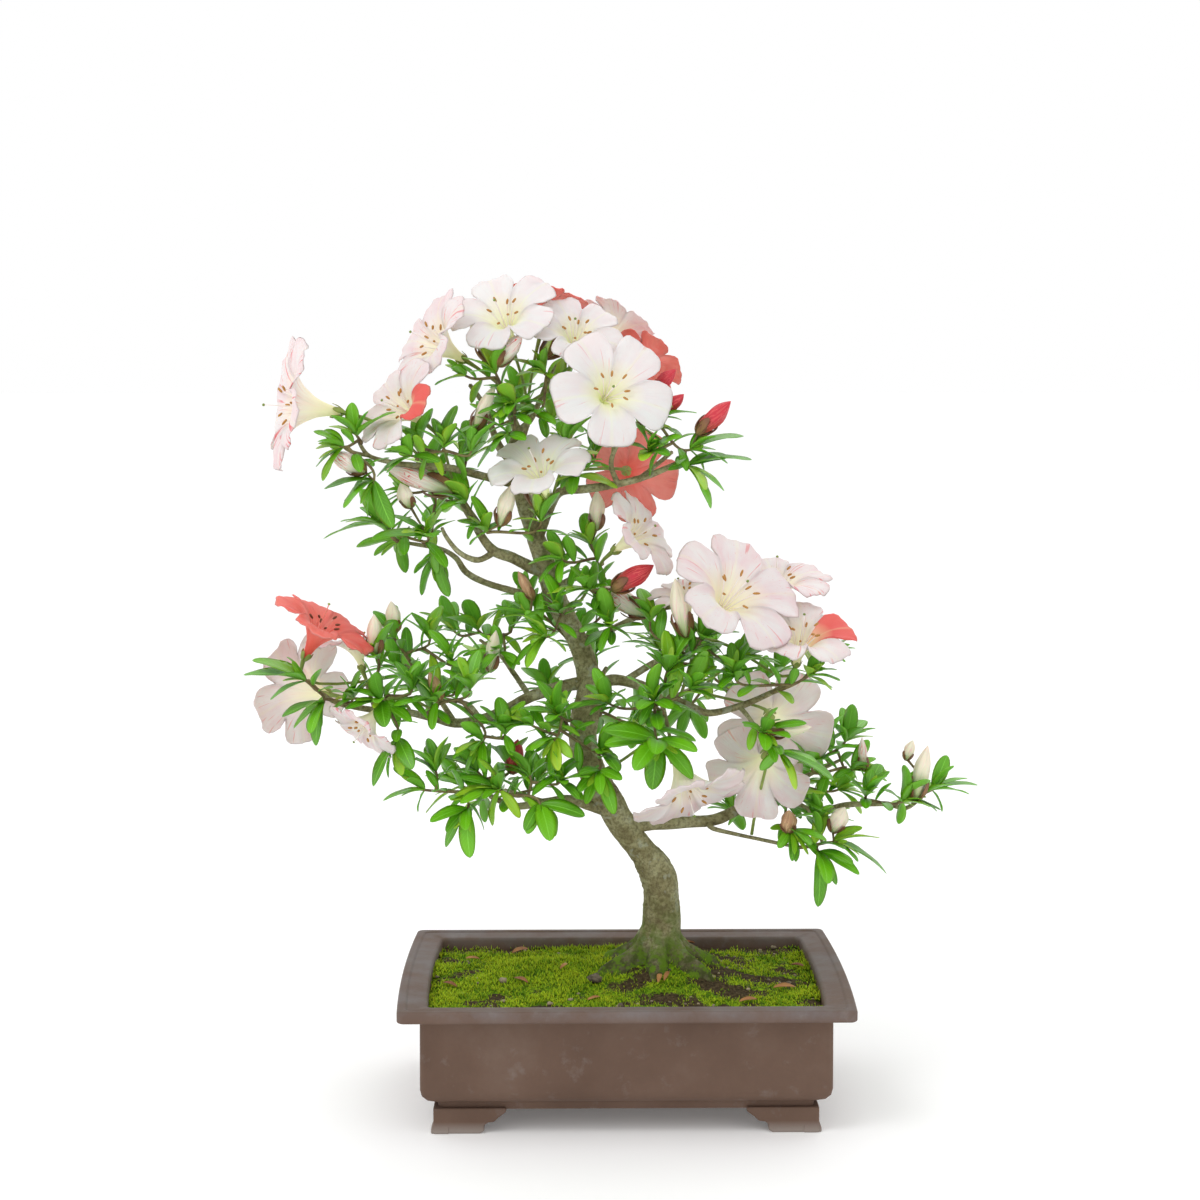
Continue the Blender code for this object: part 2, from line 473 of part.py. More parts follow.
def finish(thing, material, smooth, attempt=0):
    """Weld, triangulate and colour a node."""
    split = ("BEAUTY", "FIXED", "ALTERNATE", "SHORT_EDGE")[attempt % 4]
    fill = ("BEAUTY", "EAR_CLIP")[attempt % 2]
    work = bmesh.new()
    work.from_mesh(thing.data)
    bmesh.ops.remove_doubles(work, verts=work.verts, dist=WELD)
    bmesh.ops.dissolve_degenerate(work, dist=WELD, edges=work.edges)
    many = [f for f in work.faces if len(f.verts) > 3]
    bmesh.ops.triangulate(work, faces=many, quad_method=split, ngon_method=fill)
    work.verts.index_update()
    drop_folds(work)
    for face in work.faces:
        face.smooth = smooth
    work.to_mesh(thing.data)
    work.free()
    thing.data.materials.clear()
    thing.data.materials.append(material)


def one_closed_body(work):
    """Whether every edge has two faces turned the same way, and all faces hang together."""
    paired = all(len(e.link_faces) == 2 and e.is_contiguous for e in work.edges)
    return paired and len(bodies_of(work)) == 1


def sound(thing):
    """Whether a node is one closed body that nowhere touches itself along an edge."""
    work = bmesh.new()
    work.from_mesh(thing.data)
    good = one_closed_body(work)
    for within in (1e-7, 1e-6, 4e-6, 1.2e-5, 2e-5):
        uses = {}
        for face in work.faces:
            keys = [tuple(round(c / within) for c in v.co) for v in face.verts]
            if len(set(keys)) == 3:
                for i in range(3):
                    pair = frozenset((keys[i], keys[i - 1]))
                    uses[pair] = uses.get(pair, 0) + 1
        good = good and all(count == 2 for count in uses.values())
    for within in (1e-6, 3e-6, 1e-5):
        if good:
            bmesh.ops.dissolve_degenerate(work, dist=within, edges=work.edges)
            good = one_closed_body(work)
    work.free()
    return good


def joined(name, parts, paint, attempts=range(ATTEMPTS)):
    """One node of fused parts, each part nudged by hundredths of a millimetre until it is sound."""
    for attempt in attempts:
        things = []
        for i, (verts, faces) in enumerate(parts):
            nudge = Vector([draw(attempt, i, axis) - 0.5 for axis in range(3)]) * 0.02 * attempt
            things.append(new_object(name, [v + nudge for v in verts], faces))
        combine(things[0], things[1:], "UNION")
        finish(things[0], paint, True, attempt)
        if sound(things[0]) or attempt == attempts[-1]:
            things[0].name = name
            return things[0]
        bpy.data.objects.remove(things[0])


def keep_largest(thing):
    """Drop every body of a node but the one with the most faces."""
    work = bmesh.new()
    work.from_mesh(thing.data)
    bodies = sorted(bodies_of(work), key=len)
    for body in bodies[:-1]:
        print("dropped", len(body), "faces of", thing.name)
        bmesh.ops.delete(work, geom=list(body), context="FACES")
    work.to_mesh(thing.data)
    work.free()


def material(name, colour, rough):
    """A plain Principled material."""
    made = bpy.data.materials.new(name)
    made.use_nodes = True
    shader = made.node_tree.nodes["Principled BSDF"]
    shader.inputs["Base Color"].default_value = (*colour, 1.0)
    shader.inputs["Roughness"].default_value = rough
    made.diffuse_color = (*colour, 1.0)
    return made


def pot_ring(inset, z):
    """One level of the pot: rounded corners, short sides bowed outward."""
    hx, hy = RIM_HALF_X - inset, RIM_HALF_Y - inset
    ring = []
    for sx, sy, turn in ((1, -1, -90), (1, 1, 0), (-1, 1, 90), (-1, -1, 180)):
        for k in range(2):
            a = math.radians(turn + 15 + 60 * k)
            x = sx * (hx - POT_CORNER) + POT_CORNER * math.cos(a)
            y = sy * (hy - POT_CORNER) + POT_CORNER * math.sin(a)
            ring.append(Vector((x, y, z)))
        if sx == -sy:
            for k in (-0.5, 0.0, 0.5):
                y = k * sx * (hy - POT_CORNER)
                ring.append(Vector((sx * (hx + POT_BOW * (1 - k * k)), y, z)))
    return [v - Vector((SHIFT.x, SHIFT.y, 0.0)) for v in ring]


def prism(outline, thick, place):
    """A flat outline swept by a thickness, each point placed by a function."""
    front = [place(u, w, 0.0) for u, w in outline]
    back = [place(u, w, thick) for u, w in outline]
    return loops([front, back], None, None)


def build_pot(paint):
    """The pot with its lip, plinth, four bracket feet and two drain holes."""
    rings = [pot_ring(inset, z) for z, inset in POT_OUTSIDE]
    rings.append(pot_ring(POT_INNER_INSET, 60.0))
    rings.append(pot_ring(POT_INNER_INSET, POT_FLOOR_Z + 3.0))
    rings.append(pot_ring(POT_INNER_INSET + 3.0, POT_FLOOR_Z))
    pot = new_object("pot", *loops(rings, None, None))
    feet = []
    for sx in (-1, 1):
        for sy in (-1, 1):
            def front(u, w, d, sx=sx, sy=sy):
                return Vector((sx * (FOOT_OUTER_X - u), sy * (FOOT_OUTER_Y - d), w)) - SHIFT

            def side(u, w, d, sx=sx, sy=sy):
                y = FOOT_OUTER_Y - 0.2 - u * FOOT_SIDE_SCALE
                return Vector((sx * (FOOT_OUTER_X - 0.2 - d), sy * y, w * 0.999)) - SHIFT

            feet.append(new_object("foot", *prism(FOOT_OUTLINE, FOOT_THICK, front)))
            feet.append(new_object("foot", *prism(FOOT_OUTLINE, FOOT_THICK, side)))
    combine(pot, feet, "UNION")
    holes = []
    for x in (-DRAIN_X, DRAIN_X):
        path = [Vector((x, 0.0, z)) - SHIFT for z in (8.0, 27.0)]
        holes.append(new_object("drain", *tube(path, (DRAIN_RADIUS, DRAIN_RADIUS), 12)))
    combine(pot, holes, "DIFFERENCE")
    finish(pot, paint, False)
    return pot


def root_profile(z, reach):
    """Distance of a surface root's back from the trunk's middle at a height."""
    steps = ((FLARE_TOP_Z, 0.0), (96.0, 0.05), (90.0, 0.22), (86.0, 0.48), (82.0, 0.74), (77.0, 0.9),
             (HOLE_FLOOR_Z, 1.0))
    for (z1, a), (z2, b) in zip(steps, steps[1:]):
        if z >= z2:
            part = a + (b - a) * (z1 - z) / (z1 - z2)
            return FLARE_TOP_RADIUS + part * (reach - FLARE_TOP_RADIUS)
    return reach


def rays():
    """Bearing of each ray about the trunk, with the reach of the root there."""
    found = []
    for i, (bearing, reach) in enumerate(ROOTS):
        follow = ROOTS[(i + 1) % len(ROOTS)][0]
        valley = bearing + ((follow - bearing) % 360) / 2
        shoulder = 18 + (reach - 18) * 0.55
        found.append((bearing - ROOT_HALF_ANGLE, shoulder))
        found.append((bearing, reach))
        found.append((bearing + ROOT_HALF_ANGLE, shoulder))
        found.append((valley, 18.0))
    return sorted(((b % 360, r) for b, r in found))


def soil_top(x, y):
    """Height of the moss: a mound at the trunk, a hill on the left, lower at the walls."""
    base = seen(*TRUNK[0][:3])
    near = math.hypot(x - base.x, y - base.y)
    hill = math.hypot((x + 46 - base.x + 20) / 34, (y - base.y - 8) / 26)
    left = math.hypot((x + 96) / 22, (y - 26) / 26)
    right = math.hypot((x - 74) / 30, (y + 20) / 26)
    height = 69.0 + 18.5 * math.exp(-(near / 34) ** 1.5) + 6.0 * math.exp(-hill * hill)
    return height + 2.5 * math.exp(-left * left) + 2.0 * math.exp(-right * right)


def wall_reach(bearing):
    """Distance from the trunk's middle to the pot's inner wall along a bearing."""
    base = seen(*TRUNK[0][:3]) + SHIFT
    hx = RIM_HALF_X - POT_INNER_INSET - SOIL_GAP
    hy = RIM_HALF_Y - POT_INNER_INSET - SOIL_GAP
    c, s = math.cos(bearing), math.sin(bearing)
    low, high = 0.0, 400.0
    for _ in range(40):
        mid = (low + high) / 2
        x, y = base.x + c * mid, base.y + s * mid
        bow = POT_BOW * 0.9 * max(0.0, 1 - (y / hy) ** 2)
        corner = abs(x) - hx + abs(y) - hy > -2.4
        if abs(x) > hx + bow or abs(y) > hy or corner:
            high = mid
        else:
            low = mid
    return low


def soil_rays():
    """The root rays with others toward the pot's corners, none closer than four degrees."""
    base = seen(*TRUNK[0][:3]) + SHIFT
    found = [(b, r) for b, r in rays()]
    for sx in (-1, 1):
        for sy in (-1, 1):
            for inset in (1.4,):
                for side in (0, 1):
                    x = sx * (RIM_HALF_X - POT_INNER_INSET - (inset if side else 0.8))
                    y = sy * (RIM_HALF_Y - POT_INNER_INSET - (0.8 if side else inset))
                    b = math.degrees(math.atan2(y - base.y, x - base.x)) % 360
                    if min(abs((b - f + 180) % 360 - 180) for f, r in found) > 1.2:
                        found.append((b, None))
    found.sort()
    full = []
    for i, (b, r) in enumerate(found):
        if r is None:
            before = next(f for f in reversed(found[:i] + []) if f[1]) if any(
                f[1] for f in found[:i]) else [f for f in found if f[1]][-1]
            after = next((f for f in found[i + 1:] if f[1]), [f for f in found if f[1]][0])
            span = (after[0] - before[0]) % 360
            part = ((b - before[0]) % 360) / span
            r = before[1] + (after[1] - before[1]) * part
        full.append((b, r))
    return full


def flare_levels(bearing, reach, gap):
    """Points of the root flare from its foot to the soil's surface, then up to its top."""
    base = seen(*TRUNK[0][:3])
    c, s = math.cos(math.radians(bearing)), math.sin(math.radians(bearing))
    low, high = HOLE_FLOOR_Z + 2.0, FLARE_TOP_Z
    for _ in range(30):
        mid = (low + high) / 2
        r = root_profile(mid, reach)
        if mid > soil_top(base.x + c * r, base.y + s * r):
            high = mid
        else:
            low = mid
    points = []
    for z in (ROOT_FOOT_Z, ROOT_FOOT_Z + (low - ROOT_FOOT_Z) * 0.6, low,
              low + (FLARE_TOP_Z - low) * 0.3, low + (FLARE_TOP_Z - low) * 0.6, FLARE_TOP_Z):
        r = root_profile(z, reach) + gap
        points.append(Vector((base.x + c * r, base.y + s * r, z)))
    return points


def build_soil(paint):
    """The soil with its plain hole for the root flare."""
    base = seen(*TRUNK[0][:3])
    columns = []
    for bearing, reach in soil_rays():
        levels = flare_levels(bearing, reach, ROOT_GAP)[:3]
        levels[0].z = HOLE_FLOOR_Z
        a = math.radians(bearing)
        edge = levels[2]
        inner = math.hypot(edge.x - base.x, edge.y - base.y)
        wall = wall_reach(a)
        column = list(levels)
        for part in (0.22, 0.5, 0.78, 1.0):
            r = inner + (wall - inner) * part
            x, y = base.x + math.cos(a) * r, base.y + math.sin(a) * r
            column.append(Vector((x, y, soil_top(x, y))))
        foot = column[-1].copy()
        foot.z = 27.0
        column.append(foot)
        r = wall - 5.0
        column.append(Vector((base.x + math.cos(a) * r, base.y + math.sin(a) * r, SOIL_BASE_Z)))
        columns.append(column)
    rings = [[column[i] for column in columns] for i in range(len(columns[0]))]
    first = Vector((base.x, base.y, HOLE_FLOOR_Z))
    last = Vector((base.x, base.y, SOIL_BASE_Z))
    soil = new_object("soil", *loops(rings, first, last))
    finish(soil, paint, True)
    return soil


def thinned(path, radii, slack):
    """The path without points that lie within a slack of the straight between their neighbours."""
    if len(path) < 3:
        return path, radii
    worst, where = 0.0, 0
    span = path[-1] - path[0]
    for i in range(1, len(path) - 1):
        along = (path[i] - path[0]).dot(span) / span.length_squared
        off = (path[i] - path[0] - span * along).length
        off += abs(radii[i] - radii[0] - (radii[-1] - radii[0]) * along)
        if off > worst:
            worst, where = off, i
    if worst < slack:
        return [path[0], path[-1]], [radii[0], radii[-1]]
    one = thinned(path[:where + 1], radii[:where + 1], slack)
    two = thinned(path[where:], radii[where:], slack)
    return one[0] + two[0][1:], one[1] + two[1][1:]


def build_trunk(paint):
    """The trunk, its root flare and every branch as one body."""
    columns = [flare_levels(b, r, 0.0) for b, r in soil_rays()]
    rings = [[column[i] for column in columns] for i in range(len(columns[0]))]
    base = seen(*TRUNK[0][:3])
    first = Vector((base.x, base.y, ROOT_FOOT_Z))
    last = Vector((base.x, base.y, FLARE_TOP_Z + 3.0))
    flare = new_object("trunk", *loops(rings, first, last))
    wood = []
    path = [seen(*p[:3]) for p in TRUNK]
    path[0] = Vector((base.x, base.y, ROOT_FOOT_Z + 6.0))
    wood.append(new_object("wood", *tube(path, [p[3] for p in TRUNK], 9)))
    for points in BRANCHES.values():
        path, radii = thinned([seen(*p[:3]) for p in points], [p[3] for p in points], BRANCH_SLACK)
        sides = 6 if points[1][3] > 3.2 else 5 if points[1][3] > 2.1 else 4
        wood.append(new_object("wood", *tube(path, radii, sides)))
    combine(flare, wood, "UNION")
    finish(flare, paint, True)
    return flare


def skeleton():
    """Points along every branch: place, radius, direction, and whether it is a tip."""
    found = []
    for points in [TRUNK[3:]] + list(BRANCHES.values()):
        path = [seen(*p[:3]) for p in points]
        for i in range(len(path) - 1):
            step = path[i + 1] - path[i]
            count = max(2, int(step.length / 4.0))
            for k in range(count):
                part = (k + 0.5) / count
                if i == 0 and points is not TRUNK[3:] and part < 0.7:
                    continue
                radius = points[i][3] + (points[i + 1][3] - points[i][3]) * part
                found.append((path[i] + step * part, radius, step.normalized(), False))
        found.append((path[-1], points[-1][3], (path[-1] - path[-2]).normalized(), True))
    return found


def roots_for(target, wood, count):
    """The best places on the wood to grow a stem to a target, nearest first."""
    ranked = []
    for place, radius, ahead, tip in wood:
        way = target - place
        cost = way.length + 0.7 * max(0.0, -way.z) - (4.0 if tip else 0.0)
        if way.length > radius + 4.0 and not (tip and way.dot(ahead) < 0):
            ranked.append((cost, place, radius, ahead, tip))
    ranked.sort(key=lambda item: item[0])
    chosen = []
    for item in ranked:
        if all((item[1] - other[1]).length > 7.0 for other in chosen):
            chosen.append(item)
        if len(chosen) == count:
            break
    return chosen


def stem_start(root, target, radius):
    """Where a stem begins, just clear of the wood, and the way it leaves."""
    cost, place, wood_radius, ahead, tip = root
    way = (target - place).normalized()
    if tip:
        return place + ahead * (STEM_GAP + radius * 0.5), (ahead + way).normalized()
    out = way - ahead * way.dot(ahead)
    out = out.normalized() if out.length > 0.2 else side_of(ahead)
    return place + out * (wood_radius + STEM_GAP + radius * 0.8), (out + way * 0.8).normalized()


def whorl_axis(centre, origin, lift):
    """The way a shoot points: along its stem, lifted, and outward from the trunk."""
    outward = Vector((centre.x - 8.0, centre.y, 0.0))
    outward = outward.normalized() if outward.length > 1.0 else Vector((0.0, -1.0, 0.0))
    way = (centre - origin).normalized()
    return (way * 0.5 + Vector((0.0, 0.0, lift)) + outward * 0.5).normalized()


def leaf_width(t):
    """Share of a leaf's full width along its length."""
    return 2.5 * t ** 0.75 * (1.0 - t) ** 0.6


def leaf_line(root, tip, up, arch, t):
    """The midrib of a leaf: a bow from root to tip."""
    bend = (root + tip) / 2 + up * arch
    u = 1.0 - t
    return root * u * u + bend * (2 * u * t) + tip * t * t


def leaf_station(root, tip, up, arch, width, t):
    """Place, side, upper side and half width of a leaf at a share of its length."""
    at = leaf_line(root, tip, up, arch, t)
    ahead = (leaf_line(root, tip, up, arch, t + 0.05) - at).normalized()
    side = ahead.cross(up).normalized()
    return at, side, side.cross(ahead), 0.5 * width * leaf_width(t)


def leaf_body(root, tip, up, arch, width):
    """A coarse leaf on its own, to try whether it stands clear."""
    verts = [root]
    for t in (0.32, 0.68):
        at, side, above, half = leaf_station(root, tip, up, arch, width, t)
        verts.append(at + side * half + above * (0.16 * half))
        verts.append(at - above * 0.6)
        verts.append(at - side * half + above * (0.16 * half))
    verts.append(tip)
    faces = []
    for k in range(3):
        n = (k + 1) % 3
        faces.append((0, 1 + n, 1 + k))
        faces.append((1 + k, 1 + n, 4 + n, 4 + k))
        faces.append((4 + k, 4 + n, 7))
    return verts, faces


def leaf_choice(key, i, hub, axis, length, aimed, depth, turn):
    """Root, tip, upper side, arch and width of one leaf for one of its turns."""
    root = hub.copy()
    if i < len(aimed):
        tip = seen(*aimed[i], depth + 26.0 * (draw(key, i, 1) - 0.62) + turn * 0.35)
        length = (tip - root).length
    else:
        side = side_of(axis)
        other = axis.cross(side)
        a = math.radians(137.5 * i + 360 * draw(key, 2) + turn)
        rise = math.radians(66 - 4.5 * min(i, 7) + 18 * (draw(key, i, 3) - 0.5))
        way = (side * math.cos(a) + other * math.sin(a)) * math.sin(rise) + axis * math.cos(rise)
        length = length * (0.78 + 0.4 * draw(key, i, 4)) * (1 - abs(turn) / 320)
        tip = root + way * length - Vector((0.0, 0.0, length * 0.12))
    way = (tip - root).normalized()
    up = axis * 0.6 + Vector((0.0, 0.0, 0.9))
    up = up - way * up.dot(way)
    up = up.normalized() if up.length > 0.15 else side_of(way)
    width = min(12.0, max(5.5, length * (0.30 + 0.08 * draw(key, i, 5))))
    return root, tip, up, length * 0.14, width


def bud_body(root, base, tip, radius):
    """A closed pointed bud with its stalk."""
    axis = tip - base
    side = side_of(axis.normalized())
    other = axis.normalized().cross(side)
    rings = []
    steps = ((0.3, 0.8), (0.62, 1.0))
    if (base - root).length > 6.0:
        steps = ((0.0, 0.25),) + steps
    for t, r in steps:
        ring = []
        for k in range(4):
            a = math.pi * (k + 0.5) / 2
            ring.append(base + axis * t + (side * math.cos(a) + other * math.sin(a)) * radius * r)
        rings.append(ring)
    return loops(rings, root, tip)


def shoot_body(path, radii, sides, axis, leaves, open_start):
    """A twig whose end faces are drawn out into leaves."""
    centre = path[-1]
    path = path[:-1] + [centre - axis * 1.3, centre + axis * 1.3]
    radii = list(radii[:-1]) + [radii[-1], radii[-1] * 0.9]
    verts, faces = tube(path, radii, sides, centre + axis * 5.0)
    if open_start:
        faces = [f for f in faces if 0 not in f] + [tuple(range(sides, 0, -1))]
    low = 1 + (len(path) - 2) * sides
    foot = centre - axis * 1.3
    best = None
    for spin in range(-6, 6):
        turn = Quaternion(axis, 2 * math.pi * spin / (12 * sides))
        outs = []
        for k in range(sides):
            out = (verts[low + k] + verts[low + (k + 1) % sides]) / 2 - foot
            outs.append(turn @ out.normalized())
        for order in permutations(range(sides), min(sides, len(leaves))):
            scores = [(leaf[1] - leaf[0]).normalized().dot(outs[k]) for leaf, k in zip(leaves, order)]
            worth = min(scores, default=0.0) + 0.01 * sum(scores)
            if best is None or worth > best[0]:
                best = (worth, turn, order, scores)
    worth, turn, order, scores = best
    for i in range(sides):
        verts[low + i] = foot + turn @ (verts[low + i] - foot)
        high = low + sides + i
        verts[high] = path[-1] + turn @ (verts[high] - path[-1])
    taken = {k: leaf for k, leaf, score in zip(order, leaves, scores) if score > LEAST_FACING}
    loose = [leaf_body(*leaf[:5]) for leaf, score in zip(leaves, scores) if score <= LEAST_FACING]
    for k, (root, tip, up, arch, width, stations) in taken.items():
        n = (k + 1) % sides
        a, b, c, d = low + k, low + n, low + sides + n, low + sides + k
        faces.remove((a, b, c, d))
        way = (tip - root).normalized()
        side = way.cross(up)
        best = None
        for spin in range(4):
            for ring in ((a, b, c, d), (d, c, b, a)):
                order = ring[spin:] + ring[:spin]
                p, q, r, s = (verts[i] for i in order)
                score = (r + s - p - q).dot(up) + (q + r - p - s).dot(side)
                if best is None or score > best[0]:
                    best = (score, order)
        # Left below, right below, right above, left above.
        a, b, c, d = best[1]
        rows = []
        for t in stations:
            at, side, above, half = leaf_station(root, tip, up, arch, width, t)
            rows.append(len(verts))
            verts.append(at + side * half + above * (0.16 * half))
            verts.append(at - above * 0.6)
            verts.append(at - side * half + above * (0.16 * half))
        r, m, l = rows[0], rows[0] + 1, rows[0] + 2
        faces.extend(((d, c, r), (d, r, l), (c, b, r), (b, m, r), (b, a, m), (a, d, l), (a, l, m)))
        for one, two in zip(rows, rows[1:]):
            for j in range(3):
                i = (j + 1) % 3
                faces.append((one + j, one + i, two + i, two + j))
        verts.append(tip)
        for j in range(3):
            faces.append((rows[-1] + j, rows[-1] + (j + 1) % 3, len(verts) - 1))
    return [(verts, faces)] + loose


def grown(body, by):
    """A body with every vertex moved out along its normal."""
    verts, faces = body
    normals = [Vector() for _ in verts]
    middle = sum(verts, Vector()) / len(verts)
    sign = 0.0
    for face in faces:
        a, b, c = (verts[face[0]], verts[face[1]], verts[face[2]])
        n = (b - a).cross(c - a)
        if len(face) > 3:
            n += (c - a).cross(verts[face[3]] - a)
        sign += n.dot((a + b + c) / 3 - middle)
        for v in face:
            normals[v] += n.normalized() if n.length else n
    by = by if sign > 0 else -by
    return [v + (n.normalized() * by if n.length else n) for v, n in zip(verts, normals)], faces


class Placed:
    """Everything already standing, searched by box and then by surface."""

    def __init__(self):
        self.items = []

    def add(self, name, verts, faces):
        low = Vector([min(v[i] for v in verts) for i in range(3)])
        high = Vector([max(v[i] for v in verts) for i in range(3)])
        self.items.append((name, BVHTree.FromPolygons(verts, faces), low, high))

    def hit(self, body, leave=()):
        verts, faces = body
        low = Vector([min(v[i] for v in verts) for i in range(3)])
        high = Vector([max(v[i] for v in verts) for i in range(3)])
        tree = None
        for name, other, a, b in self.items:
            if name in leave:
                continue
            if any(low[i] > b[i] or high[i] < a[i] for i in range(3)):
                continue
            tree = tree or BVHTree.FromPolygons(verts, faces)
            if tree.overlap(other):
                return name
        return None


def bloom_frame(spec, push):
    """Base, axis, the two ways across and the scale of a bloom at one push in depth."""
    bx, by, bd, mx, my, md, width = spec[:7]
    base, mouth = seen(bx, by, bd + push), seen(mx, my, md + push)
    axis = (mouth - base).normalized()
    side = side_of(axis)
    return base, axis, side, axis.cross(side), width / 62.0


def corolla_rings(spec, push):
    """Outer rings from throat to lobe edge, and inner rings, fifteen points each."""
    base, axis, side, other, s = bloom_frame(spec, push)
    bx, roll = spec[0], spec[7]
    outer, inner = [[], [], []], [[], []]
    for k in range(15):
        lobe, part = divmod(k, 3)
        a = math.radians(72.0 * lobe + roll + (-36.0, -15.0, 15.0)[part])
        way = side * math.cos(a) + other * math.sin(a)
        notch = part == 0
        wave = 1.0 + 0.10 * (draw(bx, lobe, 7) - 0.5)
        lift = 3.0 * (draw(bx, lobe, 8) - 0.5)
        rows = ((6.6, 17.0), (13.5 if notch else 17.0, 25.0 + (1.2 if notch else 0.0)),
                (19.0 if notch else 31.5 * wave, 28.0 + (1.0 if notch else lift)))
        for row, (r, h) in enumerate(rows):
            point = base + way * (r * s) + axis * (h * s)
            outer[row].append(point)
            if row < 2:
                inner[row].append(point + axis * (1.25 if row else 0.5) - way * (0.2 if row else 0.9))
    return outer, inner


def five(at, side, other, radius, roll):
    """Five points about a place, one under the middle of each lobe."""
    turns = [math.radians(72.0 * k + roll) for k in range(5)]
    return [at + (side * math.cos(a) + other * math.sin(a)) * radius for a in turns]


def corolla_body(spec, push, path):
    """Stalk, calyx and the five lobed funnel as one closed thin body."""
    base, axis, side, other, s = bloom_frame(spec, push)
    roll = spec[7]
    outer, inner = corolla_rings(spec, push)
    verts, faces = [path[0].copy()], []
    for i, point in enumerate(path):
        verts.extend(five(point, side, other, (0.95, 0.9, 1.5)[i], roll))
    for k in range(5):
        n = (k + 1) % 5
        faces.append((0, 1 + n, 1 + k))
        faces.append((1 + k, 1 + n, 6 + n, 6 + k))
        faces.append((6 + k, 6 + n, 11 + n, 11 + k))
    rings = outer + [inner[1], inner[0]]
    for ring in rings:
        verts.extend(ring)
    verts.extend(five(base + axis * (11.0 * s), side, other, 2.5 * s, roll))
    for i in range(4):
        for k in range(15):
            n = (k + 1) % 15
            one, two = 16 + i * 15, 31 + i * 15
            faces.append((one + k, one + n, two + n, two + k))
    for small, large in ((11, 16), (91, 76)):
        for k in range(5):
            n = (k + 1) % 5
            first = large + 3 * k
            following = large + (3 * k + 3) % 15
            faces.append((small + k, first, first + 1))
            faces.append((small + k, first + 1, first + 2))
            faces.append((small + k, first + 2, following))
            faces.append((small + k, following, small + n))
    faces.append((91, 92, 93, 94, 95))
    return verts, faces


def stamen_line(base, axis, side, other, s, turn, k):
    """Foot and end of a stamen; the first is the longer style."""
    way = side * math.cos(math.radians(turn)) + other * math.sin(math.radians(turn))
    foot = base + axis * (9.6 * s) + way * (1.2 * s)
    reach = (30.0 if k else 37.0) * s
    spread = (8.5 if k else 3.0) * s
    return foot, base + axis * reach + way * spread, way


def stamen_body(base, axis, side, other, s, turn, k):
    """A thin three sided spike."""
    foot, end, way = stamen_line(base, axis, side, other, s, turn, k)
    across = axis.cross(way)
    verts = [foot + way * 0.75, foot - way * 0.4 + across * 0.65, foot - way * 0.4 - across * 0.65, end]
    return verts, [(0, 1, 2), (0, 1, 3), (1, 2, 3), (2, 0, 3)]


def build_bloom(name, spec, wood, placed, paint):
    """One open flower, pushed in depth until it stands clear, with a stalk from the wood."""
    for push in (0, 4, -4, 8, -8, 13, -13, 18, -18, 24, -24, 30, -30):
        base, axis, side, other, s = bloom_frame(spec, push)
        spikes = [stamen_body(base, axis, side, other, s, spec[7] + 90.0 * k + 30, k) for k in range(4)]
        for root in roots_for(base - axis * 3.0, wood, 12):
            start, leave = stem_start(root, base, 1.0)
            if (base - start).dot(axis) < 1.0:
                continue
            reach = (base - start).length * 0.38
            middle = bezier((start, start + leave * reach, base - axis * reach, base), 0.5)
            body = corolla_body(spec, push, [start, middle, base + axis * 1.5])
            if placed.hit(grown(body, CLEAR)) or any(placed.hit(grown(part, CLEAR)) for part in spikes):
                continue
            flower = joined("bloom_" + name, [body] + spikes, paint)
            keep(placed, flower)
            if push:
                print("bloom", name, "pushed", push)
            return flower
    print("BLOOM FAILED", name)
    return None


def keep(placed, thing):
    """Add a finished node to what stands."""
    verts = [v.co / MM for v in thing.data.vertices]
    placed.add(thing.name, verts, [tuple(f.vertices) for f in thing.data.polygons])


